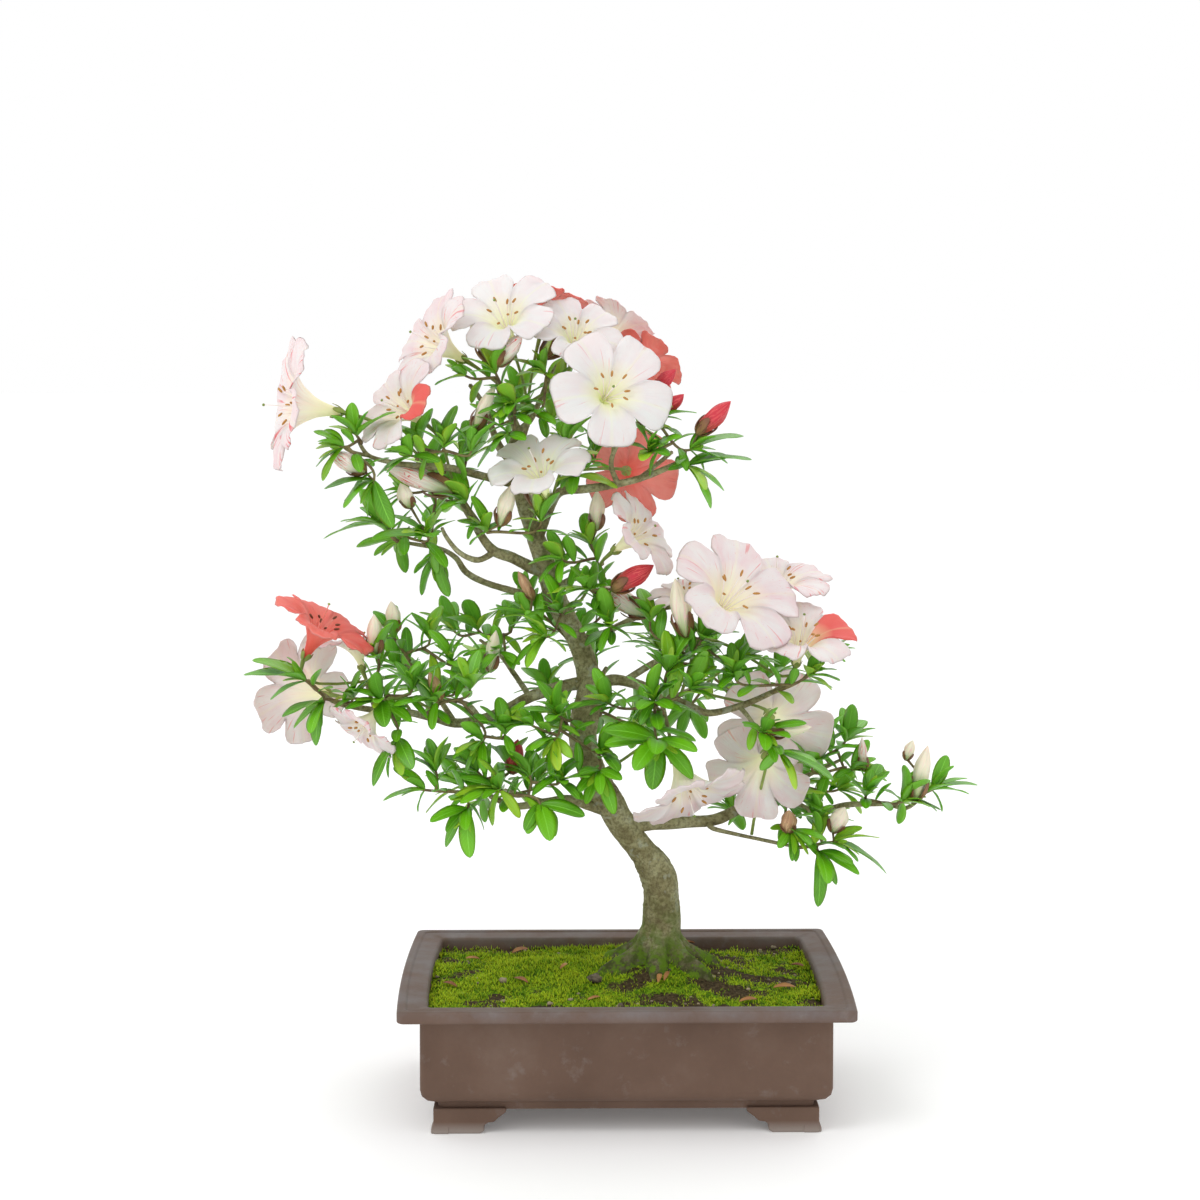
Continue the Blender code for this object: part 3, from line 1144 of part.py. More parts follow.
def build_spray(name, order, wood, placed, buds, paint):
    """One leafy spray: a stem from the wood, side shoots, leaves and buds."""
    parts, own = [], Placed()
    stems, shoots, forks = [], [], []
    for n, (px, py, depth, length, lift, aimed) in enumerate(SPRAYS[name]):
        made = None
        for push in WHORL_FORKS:
            centre = seen(px, py, depth + push)
            if n == 0:
                options = roots_for(centre, wood, 5)
            else:
                free = [p for p in stems if all((p - q).length > FORK_GAP for q in forks)]
                free.sort(key=lambda p: (p - centre).length + 0.5 * max(0, p.z - centre.z))
                options = free[:3] or stems[:1]
            for option in options:
                if n == 0:
                    start, leave = stem_start(option, centre, 1.0)
                else:
                    start, leave = option, (centre - option).normalized()
                axis = whorl_axis(centre, start, lift)
                reach = (centre - start).length * 0.35
                handles = (start, start + leave * reach, centre - axis * reach, centre)
                steps = (0.0, 0.35, 0.7, 1.0) if (centre - start).length > 30 else (0.0, 0.5, 1.0)
                path = [bezier(handles, t) for t in steps]
                thick = [1.2 - 0.2 * t if n == 0 else 0.75 + 0.2 * t for t in steps]
                sides = 4 if n == 0 else 3
                stem = tube(path, thick, sides, centre + axis * 5.0)
                if placed.hit(grown(stem, CLEAR)):
                    continue
                made = (path, thick, sides, centre, axis, depth + push)
                break
            if made:
                break
        if not made:
            print("SHOOT FAILED", name, n)
            continue
        path, thick, sides, centre, axis, depth = made
        own.add("stem%d" % n, *tube(path, thick, sides, centre + axis * 5.0))
        forks.append(path[0])
        if push:
            print("shoot", name, n, "pushed", push)
        spine = path[:-1] + [centre - axis * 1.3]
        for a, b in list(zip(spine, spine[1:]))[1:]:
            stems.extend(a + (b - a) * part for part in (0.15, 0.5, 0.85))
        shoots.append((n, path, thick, sides, centre, axis, depth))
    lost, grown_leaves = 0, []
    for n, path, thick, sides, centre, axis, depth in shoots:
        px, py, d0, length, lift, aimed = SPRAYS[name][n]
        for bx, by, tx, ty, radius in buds.get((name, n), ()):
            root = centre + axis * 0.5
            done = False
            for push in (0, 5, -5, 10, -10, 15, -15, 20, -20):
                tip = seen(tx, ty, depth - 4.0 + push)
                base = seen(bx, by, depth - 1.0 + push * 0.5)
                body = bud_body(root, base, tip, radius)
                if placed.hit(grown(body, CLEAR)) or own.hit(body, ("stem%d" % n,)):
                    continue
                parts.append(body)
                own.add("bud", *body)
                done = True
                break
            if not done:
                print("BUD FAILED", name, bx, by)
        leaves = []
        for i in range(LEAVES):
            for turn in LEAF_TURNS:
                key = order * 10 + n
                root, tip, up, arch, width = leaf_choice(key, i, centre, axis, length, aimed, depth, turn)
                body = leaf_body(root, tip, up, arch, width)
                if placed.hit(grown(body, CLEAR)):
                    continue
                short = leaf_body(root + (tip - root) * 0.22, tip, up, arch, width)
                if own.hit(short, ("stem%d" % n,)):
                    continue
                large = i < len(aimed) and (tip - root).length > 23.0
                leaves.append((root, tip, up, arch, width, (0.3, 0.66) if large else (0.5,)))
                own.add("leaf", *short)
                break
            else:
                lost += 1
        grown_leaves.append(leaves)
    if lost:
        print("spray", name, "lost leaves", lost)
    fats, attempts = SPRAY_JOINS.get(name, (TWIG_TRIES, range(ATTEMPTS)))
    for fat in fats:
        bodies = []
        for (n, path, thick, sides, centre, axis, depth), leaves in zip(shoots, grown_leaves):
            bodies.extend(shoot_body(path, [r * fat for r in thick], sides, axis, leaves, n > 0))
        spray = joined("spray_" + name, bodies + parts, paint, attempts)
        if sound(spray) or fat == fats[-1]:
            break
        bpy.data.objects.remove(spray)
    if not sound(spray):
        print("spray", name, "is not sound")
        keep_largest(spray)
    keep(placed, spray)
    return spray


def nearest_shoots():
    """Each bud given to the shoot nearest its base in the picture."""
    given = {}
    for bud in BUDS:
        best = None
        for name, shoots in SPRAYS.items():
            for n, shoot in enumerate(shoots):
                if not shoot[5]:
                    continue
                far = math.hypot(shoot[0] - bud[0], shoot[1] - bud[1])
                if best is None or far < best[0]:
                    best = (far, name, n)
        given.setdefault(best[1:], []).append(bud)
    return given


def main():
    """Clear the scene and build every node."""
    for thing in list(bpy.data.objects):
        bpy.data.objects.remove(thing)
    paints = {key: material(key, value, 0.75 if key in ("pot", "soil", "bark") else 0.5)
              for key, value in COLOURS.items()}
    placed = Placed()
    for thing in (build_pot(paints["pot"]), build_soil(paints["soil"]), build_trunk(paints["bark"])):
        keep(placed, thing)
    wood = skeleton()
    for name, spec in BLOOMS.items():
        build_bloom(name, spec, wood, placed, paints[spec[8]])
    buds = nearest_shoots()
    for order, name in enumerate(SPRAYS):
        build_spray(name, order, wood, placed, buds, paints["leaf"])


main()
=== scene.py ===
# Satsuki azalea bonsai in a clay pot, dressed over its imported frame: millimetres until a mesh is made.
import math
import random
import bmesh
import bpy
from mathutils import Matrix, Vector, noise
from mathutils.bvhtree import BVHTree
from mathutils.kdtree import KDTree


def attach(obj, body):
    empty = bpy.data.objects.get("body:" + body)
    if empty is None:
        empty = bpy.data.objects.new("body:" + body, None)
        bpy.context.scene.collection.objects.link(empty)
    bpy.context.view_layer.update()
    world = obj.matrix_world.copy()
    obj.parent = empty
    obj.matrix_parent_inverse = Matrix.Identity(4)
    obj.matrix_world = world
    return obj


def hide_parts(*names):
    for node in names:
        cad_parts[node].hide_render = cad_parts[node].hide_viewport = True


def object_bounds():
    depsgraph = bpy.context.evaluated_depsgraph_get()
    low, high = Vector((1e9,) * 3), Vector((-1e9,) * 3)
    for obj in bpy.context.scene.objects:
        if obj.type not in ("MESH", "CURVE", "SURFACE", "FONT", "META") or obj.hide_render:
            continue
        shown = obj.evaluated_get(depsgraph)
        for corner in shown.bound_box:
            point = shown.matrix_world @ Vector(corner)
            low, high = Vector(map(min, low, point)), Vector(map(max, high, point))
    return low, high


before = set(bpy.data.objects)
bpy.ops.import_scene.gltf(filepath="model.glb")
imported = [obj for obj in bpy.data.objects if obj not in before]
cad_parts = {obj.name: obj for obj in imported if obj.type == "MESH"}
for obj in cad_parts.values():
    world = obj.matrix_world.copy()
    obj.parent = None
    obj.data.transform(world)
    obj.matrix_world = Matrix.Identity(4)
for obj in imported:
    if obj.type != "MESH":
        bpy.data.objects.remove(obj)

CAD_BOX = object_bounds()
MM = 0.001

# The picture's camera, found from the pot's corners, in millimetres from the pot's base centre.
CAM_AT = Vector((-32.1, -1347.4, 450.1))
CAM_YAW = math.radians(-0.759)
CAM_PITCH = math.radians(6.367)
CAM_FOCAL = 2293.4
CAM_CENTRE = 600.0
FRAME_PIXELS = 1200.0
SENSOR_MM = 36.0
# Moves the whole model so that the middle of its bounding box stands on the origin.
SHIFT = Vector((-5.0, 0.0, 0.0))

# Pot sizes in millimetres.
RIM_HALF_X = 130.0
RIM_HALF_Y = 92.5
POT_BOW = 2.5
POT_CORNER = 3.5
POT_FLOOR_Z = 22.0
POT_INNER_INSET = 17.0
# Height and inset from the rim's outer edge, up the outside.
POT_OUTSIDE = (
    (13.5, 22.1), (18.3, 21.6), (19.0, 19.0), (20.8, 15.2), (23.6, 12.9), (27.5, 12.0),
    (66.0, 12.2), (68.8, 10.8), (70.0, 8.0), (70.0, 0.9), (70.9, 0.0), (76.1, 0.0),
    (77.0, 0.9), (77.0, 4.6), (76.1, 5.5), (76.4, 6.5), (75.5, 15.6), (74.6, 16.5),
)
FOOT_OUTLINE = (
    (-1.2, 0.0), (27.0, 0.0), (29.5, 1.6), (29.2, 4.6), (31.5, 6.4), (35.0, 6.8),
    (37.6, 9.4), (42.0, 12.6), (42.0, 15.0), (0.6, 15.0), (0.2, 6.0), (-1.2, 2.4),
)
FOOT_OUTER_X = 111.0
FOOT_OUTER_Y = 73.5
FOOT_THICK = 9.0
FOOT_SIDE_SCALE = 0.72

# Soil sizes in millimetres.
HOLE_FLOOR_Z = 60.0
# Bearing in degrees and reach in millimetres of each surface root.
ROOTS = ((8, 40), (62, 30), (112, 34), (158, 42), (205, 46), (262, 34), (318, 44))
ROOT_HALF_ANGLE = 13.0
FLARE_TOP_Z = 103.0
FLARE_TOP_RADIUS = 12.4
# Height, and share of a root's reach that its back has come to there.
ROOT_PROFILE = ((FLARE_TOP_Z, 0.0), (96.0, 0.05), (90.0, 0.22), (86.0, 0.48), (82.0, 0.74),
                (77.0, 0.9), (HOLE_FLOOR_Z, 1.0))
# Reach in millimetres of the flare between its roots.
ROOT_GAP_REACH = 18.0

# Pixel column, pixel row, depth in millimetres and radius in millimetres.
TRUNK = (
    (660, 948, 4, 12.2), (661, 925, 3, 11.2), (661, 900, 2, 10.8), (659, 880, 2, 10.8),
    (652, 863, 0, 9.6), (641, 849, -2, 8.4), (627, 831, -4, 8.2), (611, 806, -6, 8.6),
    (597, 783, -6, 8.4), (587, 757, -4, 8.2), (583, 736, -2, 8.2), (586, 712, 2, 8.2),
    (590, 690, 6, 7.6), (585, 662, 10, 6.6), (575, 634, 12, 6.2), (558, 604, 12, 6.4),
    (549, 576, 12, 6.6), (540, 550, 10, 5.6), (530, 522, 8, 4.8), (523, 500, 6, 4.4),
    (516, 472, 6, 4.0), (512, 452, 6, 3.4), (517, 432, 6, 2.6), (508, 410, 2, 2.1),
    (500, 392, 0, 1.8), (497, 378, -2, 1.4),
)
# Each branch starts inside its parent.
BRANCHES = {
    "apex_left": (
        (513, 462, 6, 2.8), (500, 448, 12, 2.4), (492, 428, 14, 1.9), (484, 405, 14, 1.6),
        (470, 385, 10, 1.3)),
    "apex_right": (
        (517, 432, 6, 2.0), (530, 420, 10, 1.8), (540, 400, 14, 1.5), (548, 380, 16, 1.3),
        (555, 365, 18, 1.1)),
    "apex_back": ((512, 455, 6, 2.0), (522, 440, 22, 1.6), (528, 425, 36, 1.2)),
    "upper_right": (
        (537, 540, 10, 3.4), (548, 512, 8, 3.0), (560, 492, 4, 2.7), (585, 489, 0, 2.4),
        (618, 484, -6, 2.2), (650, 475, -8, 1.9), (682, 461, -6, 1.4)),
    "upper_right_a": (
        (560, 492, 4, 1.6), (568, 475, -2, 1.4), (566, 455, -6, 1.2), (568, 447, -8, 1.0)),
    "upper_right_b": (
        (618, 484, -6, 1.7), (611, 464, -10, 1.5), (617, 444, -14, 1.2), (622, 430, -16, 1.0)),
    "upper_right_c": ((640, 478, -7, 1.4), (655, 466, 4, 1.3), (672, 452, 10, 1.1)),
    "upper_right_d": ((615, 450, -13, 1.2), (622, 425, 4, 1.1), (626, 398, 16, 0.9)),
    "upper_left": (
        (520, 485, 6, 2.8), (490, 478, -6, 2.4), (450, 468, -14, 2.1), (420, 466, -18, 1.8),
        (390, 462, -20, 1.5), (368, 455, -20, 1.3), (358, 440, -20, 1.0)),
    "upper_left_a": ((370, 456, -20, 1.2), (352, 452, -22, 1.1), (344, 447, -22, 0.9)),
    "left_arch": (
        (547, 573, 12, 4.0), (533, 568, 8, 3.6), (513, 558, 4, 3.4), (494, 551, 0, 3.0),
        (482, 537, -4, 2.4), (472, 520, -6, 2.0), (462, 505, -8, 1.5)),
    "left_arch_a": (
        (494, 552, 0, 2.2), (478, 560, -6, 1.8), (460, 553, -12, 1.5), (447, 538, -14, 1.3),
        (442, 528, -14, 1.0)),
    "left_arch_b": (
        (557, 602, 12, 2.4), (513, 591, 20, 2.0), (484, 582, 22, 1.9), (466, 572, 20, 1.8),
        (456, 558, 16, 1.6), (441, 549, 12, 1.4), (420, 545, 8, 1.2), (400, 542, 4, 0.9)),
    "mid_twig": ((552, 590, 12, 2.2), (570, 580, 8, 2.0), (590, 572, 2, 1.6), (603, 563, 0, 1.2)),
    "right": (
        (591, 688, 6, 3.8), (612, 680, 4, 3.4), (636, 684, -2, 3.0), (660, 694, -8, 2.6),
        (690, 706, -14, 2.3), (710, 713, -18, 2.1), (740, 706, -20, 1.9), (762, 697, -22, 1.6),
        (790, 683, -24, 1.2)),
    "right_a": ((740, 707, -20, 1.5), (752, 722, -30, 1.3), (760, 738, -36, 1.0)),
    "right_b": ((625, 681, 1, 2.2), (650, 665, 0, 2.0), (680, 650, 2, 1.7), (700, 640, 0, 1.3)),
    "right_c": (
        (577, 641, 12, 2.6), (600, 635, 16, 2.2), (630, 620, 18, 1.9), (655, 610, 16, 1.6),
        (685, 605, 14, 1.4), (715, 600, 12, 1.2), (740, 612, 14, 1.1), (758, 624, 16, 0.9)),
    "right_d": ((660, 694, -8, 1.8), (664, 712, -22, 1.5), (668, 728, -30, 1.2), (670, 738, -33, 1.0)),
    "right_e": ((670, 700, -10, 1.8), (690, 690, 14, 1.5), (712, 686, 36, 1.1)),
    "left": (
        (585, 682, 8, 4.0), (560, 687, 2, 3.6), (530, 697, -4, 3.4), (505, 710, -8, 3.2),
        (480, 720, -10, 3.0), (455, 723, -12, 2.7), (430, 717, -14, 2.4), (405, 712, -16, 2.1),
        (375, 710, -18, 1.9), (350, 706, -20, 1.6), (335, 702, -20, 1.4), (320, 692, -22, 1.2),
        (308, 680, -22, 0.9)),
    "left_a": ((455, 723, -12, 1.8), (440, 700, 0, 1.6), (425, 680, 10, 1.4), (405, 665, 16, 1.0)),
    "left_b": ((530, 697, -4, 1.8), (515, 675, 10, 1.6), (500, 655, 18, 1.3), (480, 640, 24, 1.0)),
    "left_c": ((375, 710, -18, 1.3), (370, 695, -8, 1.1), (366, 683, 0, 0.9)),
    "left_d": ((480, 720, -10, 1.9), (470, 706, 12, 1.6), (455, 700, 34, 1.2)),
    "low_left": (
        (608, 812, -6, 3.4), (590, 806, -10, 3.0), (568, 799, -14, 2.6), (545, 802, -20, 2.3),
        (515, 806, -26, 2.0), (490, 796, -30, 1.5)),
    "low_left_a": ((545, 802, -20, 1.6), (525, 796, -4, 1.4), (505, 790, 8, 1.1)),
    "low_right": (
        (633, 826, -4, 4.6), (655, 823, -2, 4.2), (680, 822, 2, 3.9), (713, 820, 6, 3.5),
        (733, 812, 10, 3.2), (755, 802, 14, 2.9), (785, 800, 16, 2.5), (815, 812, 12, 2.2),
        (846, 805, 8, 1.9), (868, 804, 4, 1.7), (888, 804, 0, 1.5), (906, 808, -2, 1.3),
        (922, 797, -4, 1.0)),
    "low_right_a": (
        (709, 822, 6, 2.0), (712, 828, -2, 1.4), (735, 834, -6, 1.2), (768, 841, -12, 1.1),
        (795, 847, -16, 0.9)),
    "low_right_b": ((785, 800, 16, 1.7), (800, 780, 24, 1.5), (820, 770, 28, 1.3), (840, 760, 30, 1.0)),
    "back": ((588, 700, 4, 3.0), (594, 690, 22, 2.4), (600, 680, 40, 1.8), (606, 668, 54, 1.2)),
    "back_upper": ((553, 592, 12, 2.4), (556, 580, 28, 1.8), (552, 566, 42, 1.2)),
}

# Base column, row and depth, mouth column, row and depth, width, roll in degrees, colour.
BLOOMS = {
    "far_left": (345, 413, -22, 290, 404, -30, 78, 20, "pink"),
    "top_left": (468, 362, 10, 425, 336, -2, 66, 5, "pink"),
    "half_red": (427, 425, -16, 393, 402, -30, 56, 40, "mixed"),
    "top_centre": (512, 345, 16, 500, 302, -6, 62, 10, "white"),
    "top_red": (540, 336, 20, 553, 285, 30, 52, 30, "red"),
    "top_right": (572, 360, 10, 578, 322, -8, 54, 0, "white"),
    "top_back": (602, 352, 32, 622, 322, 42, 50, 0, "pink"),
    "big_white": (600, 405, -4, 614, 387, -34, 68, 12, "white"),
    "behind_red": (630, 380, 22, 650, 360, 36, 46, 20, "red"),
    "under_red": (625, 470, 8, 631, 474, 30, 54, 8, "red"),
    "centre_white": (548, 500, -6, 530, 438, -26, 60, 30, "white"),
    "mid_right": (611, 553, -4, 650, 526, -14, 56, 15, "pink"),
    "cluster_back": (770, 618, 16, 780, 564, 8, 64, 12, "pink"),
    "cluster_front": (708, 625, -22, 737, 590, -42, 78, 25, "pink"),
    "cluster_half_red": (795, 668, -22, 806, 622, -36, 60, 0, "mixed"),
    "cluster_left": (690, 622, 6, 682, 585, 2, 46, 10, "mixed"),
    "low_back": (768, 712, -10, 774, 722, 12, 70, 10, "pink"),
    "low_under": (768, 750, -26, 757, 774, -4, 62, 30, "pink"),
    "hanging": (672, 750, -36, 690, 795, -48, 70, 18, "pink"),
    "left_red": (303, 661, -24, 320, 630, -26, 62, 30, "red"),
    "left_back": (332, 695, -4, 308, 690, 12, 66, 14, "pink"),
    "left_upright": (363, 672, 6, 354, 634, 8, 46, 0, "pink"),
    "left_nodding": (382, 704, -36, 356, 738, -46, 46, 10, "pink"),
}

# Whorl column, row and depth, leaf length, lift, and the leaf tips seen in the picture.
SPRAYS = {
    "left_tip": (
        (306, 681, -30, 24, 0.2, ((243, 675), (252, 660), (270, 700))),
        (324, 702, -30, 22, 0.0, ((282, 717), (316, 746))),
        (353, 699, -34, 22, 0.4, ((330, 712), (340, 676)))),
    "left_middle": (
        (378, 659, -20, 24, 0.9, ((352, 645), (392, 622))),
        (382, 701, -40, 26, 0.4, ((352, 690), (412, 722))),
        (398, 738, -40, 26, -0.8, ((363, 778), (402, 745))),
        (412, 690, -34, 24, 0.8, ((395, 672), (425, 662)))),
    "left_rise": (
        (395, 639, -2, 24, 0.9, ((372, 620), (413, 612))),
        (430, 640, 8, 26, 0.8, ((441, 615), (410, 655))),
        (452, 662, -10, 24, 0.7, ((470, 650), (432, 652)))),
    "left_inner": (
        (437, 702, -34, 26, 0.4, ((432, 730), (455, 690))),
        (470, 690, -36, 24, 0.7, ((488, 672), (452, 676))),
        (483, 741, -34, 24, 0.2, ((462, 722), (490, 765))),
        (505, 735, -30, 24, 0.4, ((524, 722), (512, 756)))),
    "left_crown": (
        (478, 630, 24, 26, 0.9, ((455, 618), (497, 610))),
        (512, 628, 16, 26, 0.9, ((505, 605), (534, 632))),
        (500, 652, -6, 24, 0.6, ((484, 660), (520, 665))), (455, 632, 40, 24, 0.8, ((440, 625),))),
    "left_rear": (
        (420, 690, 44, 26, 0.5, ()), (455, 690, 58, 26, 0.6, ()), (398, 668, 52, 24, 0.5, ()),
        (486, 668, 62, 26, 0.8, ())),
    "low_left_tip": (
        (425, 790, -38, 24, 0.1, ((397, 795), (408, 778), (418, 812))),
        (436, 772, -30, 26, 0.8, ((412, 758), (428, 738))),
        (468, 808, -42, 28, -0.5, ((470, 858), (446, 832), (430, 822)))),
    "low_left_middle": (
        (500, 790, -46, 26, 0.2, ((492, 826), (520, 818))),
        (478, 772, -22, 26, 0.7, ((452, 758), (488, 750))),
        (510, 768, -14, 24, 0.8, ((500, 745), (530, 758))),
        (540, 804, -46, 26, -0.5, ((527, 834), (556, 836), (585, 816))),
        (530, 776, -32, 24, 0.6, ((548, 762), (514, 782))),
        (560, 782, -36, 22, 0.4, ((583, 800), (560, 764)))),
    "low_left_rear": (
        (500, 790, 24, 24, 0.4, ()), (462, 786, 26, 24, 0.4, ()), (538, 782, 28, 24, 0.5, ()),
        (480, 800, 44, 22, 0.3, ())),
    "trunk_front": (
        (560, 716, -30, 26, 0.6, ((540, 702), (582, 702), (566, 690))),
        (556, 738, -36, 24, -0.1, ((536, 752), (572, 758))),
        (533, 726, -38, 24, 0.4, ((520, 708), (548, 744))),
        (602, 753, -28, 24, 0.4, ((588, 738), (626, 745))),
        (600, 770, -34, 22, -0.4, ((584, 784), (622, 780)))),
    "trunk_rear": (
        (600, 716, 52, 26, 0.4, ()), (566, 730, 46, 24, 0.4, ()), (548, 690, 50, 26, 0.7, ()),
        (634, 722, 54, 24, 0.3, ()), (592, 660, 66, 26, 0.9, ())),
    "trunk_middle": (
        (560, 613, -10, 26, 0.7, ((540, 600), (584, 600))),
        (547, 637, -16, 24, 0.4, ((522, 642), (566, 652))),
        (530, 617, -6, 26, 0.7, ((505, 600), (520, 592)))),
    "trunk_middle_rear": (
        (562, 632, 56, 26, 0.6, ()), (530, 600, 50, 24, 0.6, ()), (604, 610, 58, 26, 0.7, ()),
        (560, 570, 64, 24, 0.9, ())),
    "mid_inner": (
        (610, 627, -12, 26, 0.7, ((592, 612), (632, 640), (600, 652))),
        (591, 545, 2, 24, 0.8, ((572, 530), (610, 528))),
        (590, 590, -12, 24, 0.6, ((572, 605), (608, 585))),
        (562, 560, -6, 24, 0.6, ((545, 545), (560, 583)))),
    "right_front": (
        (654, 702, -40, 28, 0.5, ((640, 725), (682, 712))),
        (690, 690, -38, 28, 0.6, ((678, 668), (716, 700))),
        (610, 704, -22, 24, 0.5, ((590, 715), (625, 690))),
        (657, 740, -46, 32, 0.1, ((604, 730), (604, 744), (652, 790)))),
    "right_middle": (
        (667, 672, -30, 34, 0.7, ((717, 646), (646, 652), (692, 690))),
        (702, 640, -28, 28, 0.8, ((690, 618), (724, 655))),
        (738, 660, -18, 26, 0.7, ((757, 645), (724, 680))),
        (650, 622, -6, 28, 0.9, ((636, 608), (664, 604)))),
    "right_tip": (
        (808, 676, -36, 24, 0.5, ((832, 690), (826, 668))),
        (825, 655, -26, 22, 0.6, ((856, 648), (846, 640), (845, 662))),
        (735, 676, -36, 26, 0.6, ((760, 668), (718, 690)))),
    "right_hang": (
        (763, 733, -50, 26, 0.3, ((742, 722), (790, 738))),
        (778, 752, -52, 30, -0.2, ((834, 780), (760, 770), (792, 770)))),
    "right_rear": (
        (740, 690, 52, 26, 0.5, ()), (776, 672, 50, 26, 0.6, ()), (706, 664, 60, 26, 0.7, ()),
        (690, 706, 56, 24, 0.3, ()), (660, 650, 60, 26, 0.8, ())),
    "low_right_inner": (
        (788, 798, -6, 26, 0.4, ((762, 790), (804, 776), (740, 800))),
        (790, 830, -26, 24, -0.3, ((778, 848), (770, 828), (796, 862)))),
    "low_right_fall": (
        (833, 842, -20, 28, 0.0, ((887, 874), (880, 838), (858, 862))),
        (818, 851, -26, 26, -0.5, ((838, 884), (806, 862), (800, 838))),
        (816, 822, -14, 24, 0.5, ((832, 806), (798, 815)))),
    "low_right_crown": (
        (822, 752, 24, 26, 0.9, ((806, 736), (842, 715))),
        (845, 742, 36, 24, 0.9, ((862, 727), (833, 722))),
        (852, 770, 14, 24, 0.6, ((876, 758), (836, 778))),
        (812, 768, 6, 24, 0.6, ((790, 762), (826, 786)))),
    "low_right_tip": (
        (866, 796, -8, 24, 0.6, ((886, 776), (850, 784))),
        (902, 802, -14, 24, 0.5, ((884, 790), (905, 765), (898, 824))),
        (932, 790, -8, 26, 0.3, ((978, 785), (968, 778), (942, 812)))),
    "low_right_rear": (
        (800, 784, 54, 26, 0.5, ()), (838, 790, 46, 24, 0.4, ()), (762, 796, 50, 26, 0.5, ()),
        (732, 812, 40, 24, 0.2, ())),
    "upper_left_tip": (
        (357, 436, -24, 24, 0.7, ((331, 415), (368, 411), (396, 412))),
        (344, 447, -30, 22, 0.2, ((318, 441), (324, 430))),
        (374, 480, -30, 24, -0.2, ((324, 489), (367, 503), (344, 501)))),
    "upper_left": (
        (419, 446, -20, 24, 0.8, ((406, 428), (432, 408))),
        (444, 448, -22, 26, 0.7, ((438, 424), (466, 440))),
        (412, 456, -30, 24, 0.3, ((384, 452), (440, 462))),
        (471, 452, -20, 26, 0.7, ((452, 460), (466, 420)))),
    "left_arch_tip": (
        (381, 524, 2, 26, 0.4, ((345, 522), (323, 539), (360, 507))),
        (428, 537, -20, 30, 0.4, ((371, 539), (391, 515), (434, 512))),
        (400, 540, 12, 22, 0.0, ((374, 556), (356, 547))), (436, 556, 6, 22, -0.6, ((420, 562),))),
    "left_arch": (
        (466, 503, -14, 26, 0.8, ((440, 512), (478, 480))),
        (487, 532, -16, 24, 0.7, ((470, 545), (505, 520))),
        (541, 522, -8, 24, 0.5, ((528, 508), (562, 512), (512, 520)))),
    "upper_rear": (
        (430, 470, 40, 26, 0.6, ()), (466, 462, 52, 26, 0.7, ()), (452, 500, 50, 24, 0.4, ()),
        (408, 492, 34, 24, 0.4, ())),
    "apex": (
        (496, 374, -10, 26, 0.9, ((480, 334), (499, 322), (470, 372))),
        (514, 405, -14, 26, 0.4, ((500, 424), (530, 396), (488, 400))),
        (466, 376, 0, 24, 0.5, ((445, 380), (452, 366))),
        (509, 434, -14, 24, 0.4, ((488, 440), (526, 440)))),
    "apex_right": (
        (545, 374, 4, 24, 0.5, ((562, 384), (530, 360))),
        (562, 384, 20, 24, 0.4, ((585, 400), (572, 366))),
        (535, 412, -2, 24, 0.5, ((556, 424), (520, 420)))),
    "apex_rear": (
        (520, 400, 54, 26, 0.8, ()), (494, 424, 50, 24, 0.5, ()), (552, 420, 52, 26, 0.5, ())),
    "upper_right": (
        (659, 418, -8, 24, 0.8, ((640, 430), (664, 398), (682, 420))),
        (690, 450, -8, 26, 0.6, ((744, 436), (716, 436), (704, 470))),
        (687, 466, -10, 24, 0.2, ((752, 460), (728, 456), (668, 470))),
        (650, 452, -18, 24, 0.5, ((628, 444), (664, 440)))),
    "upper_right_inner": (
        (567, 445, -14, 26, 0.8, ((548, 432), (590, 432))),
        (576, 476, -12, 26, 0.5, ((561, 488), (618, 488), (592, 462))),
        (595, 452, 24, 24, 0.6, ((606, 440),))),
}

# Base column and row, tip column and row, and radius in millimetres.
BUDS = (
    (489, 362, 470, 318, 3.6), (497, 366, 523, 333, 4.2), (541, 358, 593, 310, 5.6),
    (473, 432, 495, 385, 3.8), (537, 508, 523, 452, 4.0), (500, 526, 511, 485, 4.6),
    (597, 530, 597, 490, 4.4), (533, 600, 518, 571, 3.0), (490, 672, 496, 630, 4.0),
    (395, 633, 391, 601, 4.2), (376, 655, 374, 614, 4.6), (441, 700, 429, 672, 3.4),
    (466, 780, 438, 745, 5.0), (512, 774, 518, 739, 4.6), (648, 616, 597, 586, 6.0),
    (612, 590, 654, 565, 5.6), (686, 637, 675, 578, 5.4), (764, 733, 812, 727, 3.6),
    (864, 771, 862, 737, 2.6), (915, 801, 928, 745, 4.6), (906, 760, 913, 740, 3.0),
    (832, 832, 845, 807, 5.2), (788, 833, 789, 810, 4.6), (697, 434, 731, 401, 5.0),
    (675, 432, 682, 405, 3.4), (663, 413, 684, 394, 3.6), (653, 392, 676, 369, 4.0),
    (366, 472, 329, 453, 5.0), (455, 492, 384, 466, 5.8), (411, 508, 400, 483, 4.4),
    (386, 517, 382, 500, 2.6),
)

# Buds by the column and row of their tips: the rest are cream with a pink tinge.
RED_BUDS = {(518, 739), (731, 401), (682, 405), (684, 394), (676, 369), (654, 565)}
STRIPED_BUDS = {(384, 466), (597, 586), (593, 310), (329, 453), (862, 737), (523, 333)}
BROWN_BUDS = {(429, 672), (789, 810), (382, 500), (518, 571)}

# How near a vertex of the frame lies to a place that was used there.
FOUND_WITHIN = 0.35
# Leaves of a shoot that the frame has too, and the least number of further ones.
LEAVES, MORE_LEAVES = 3, 5
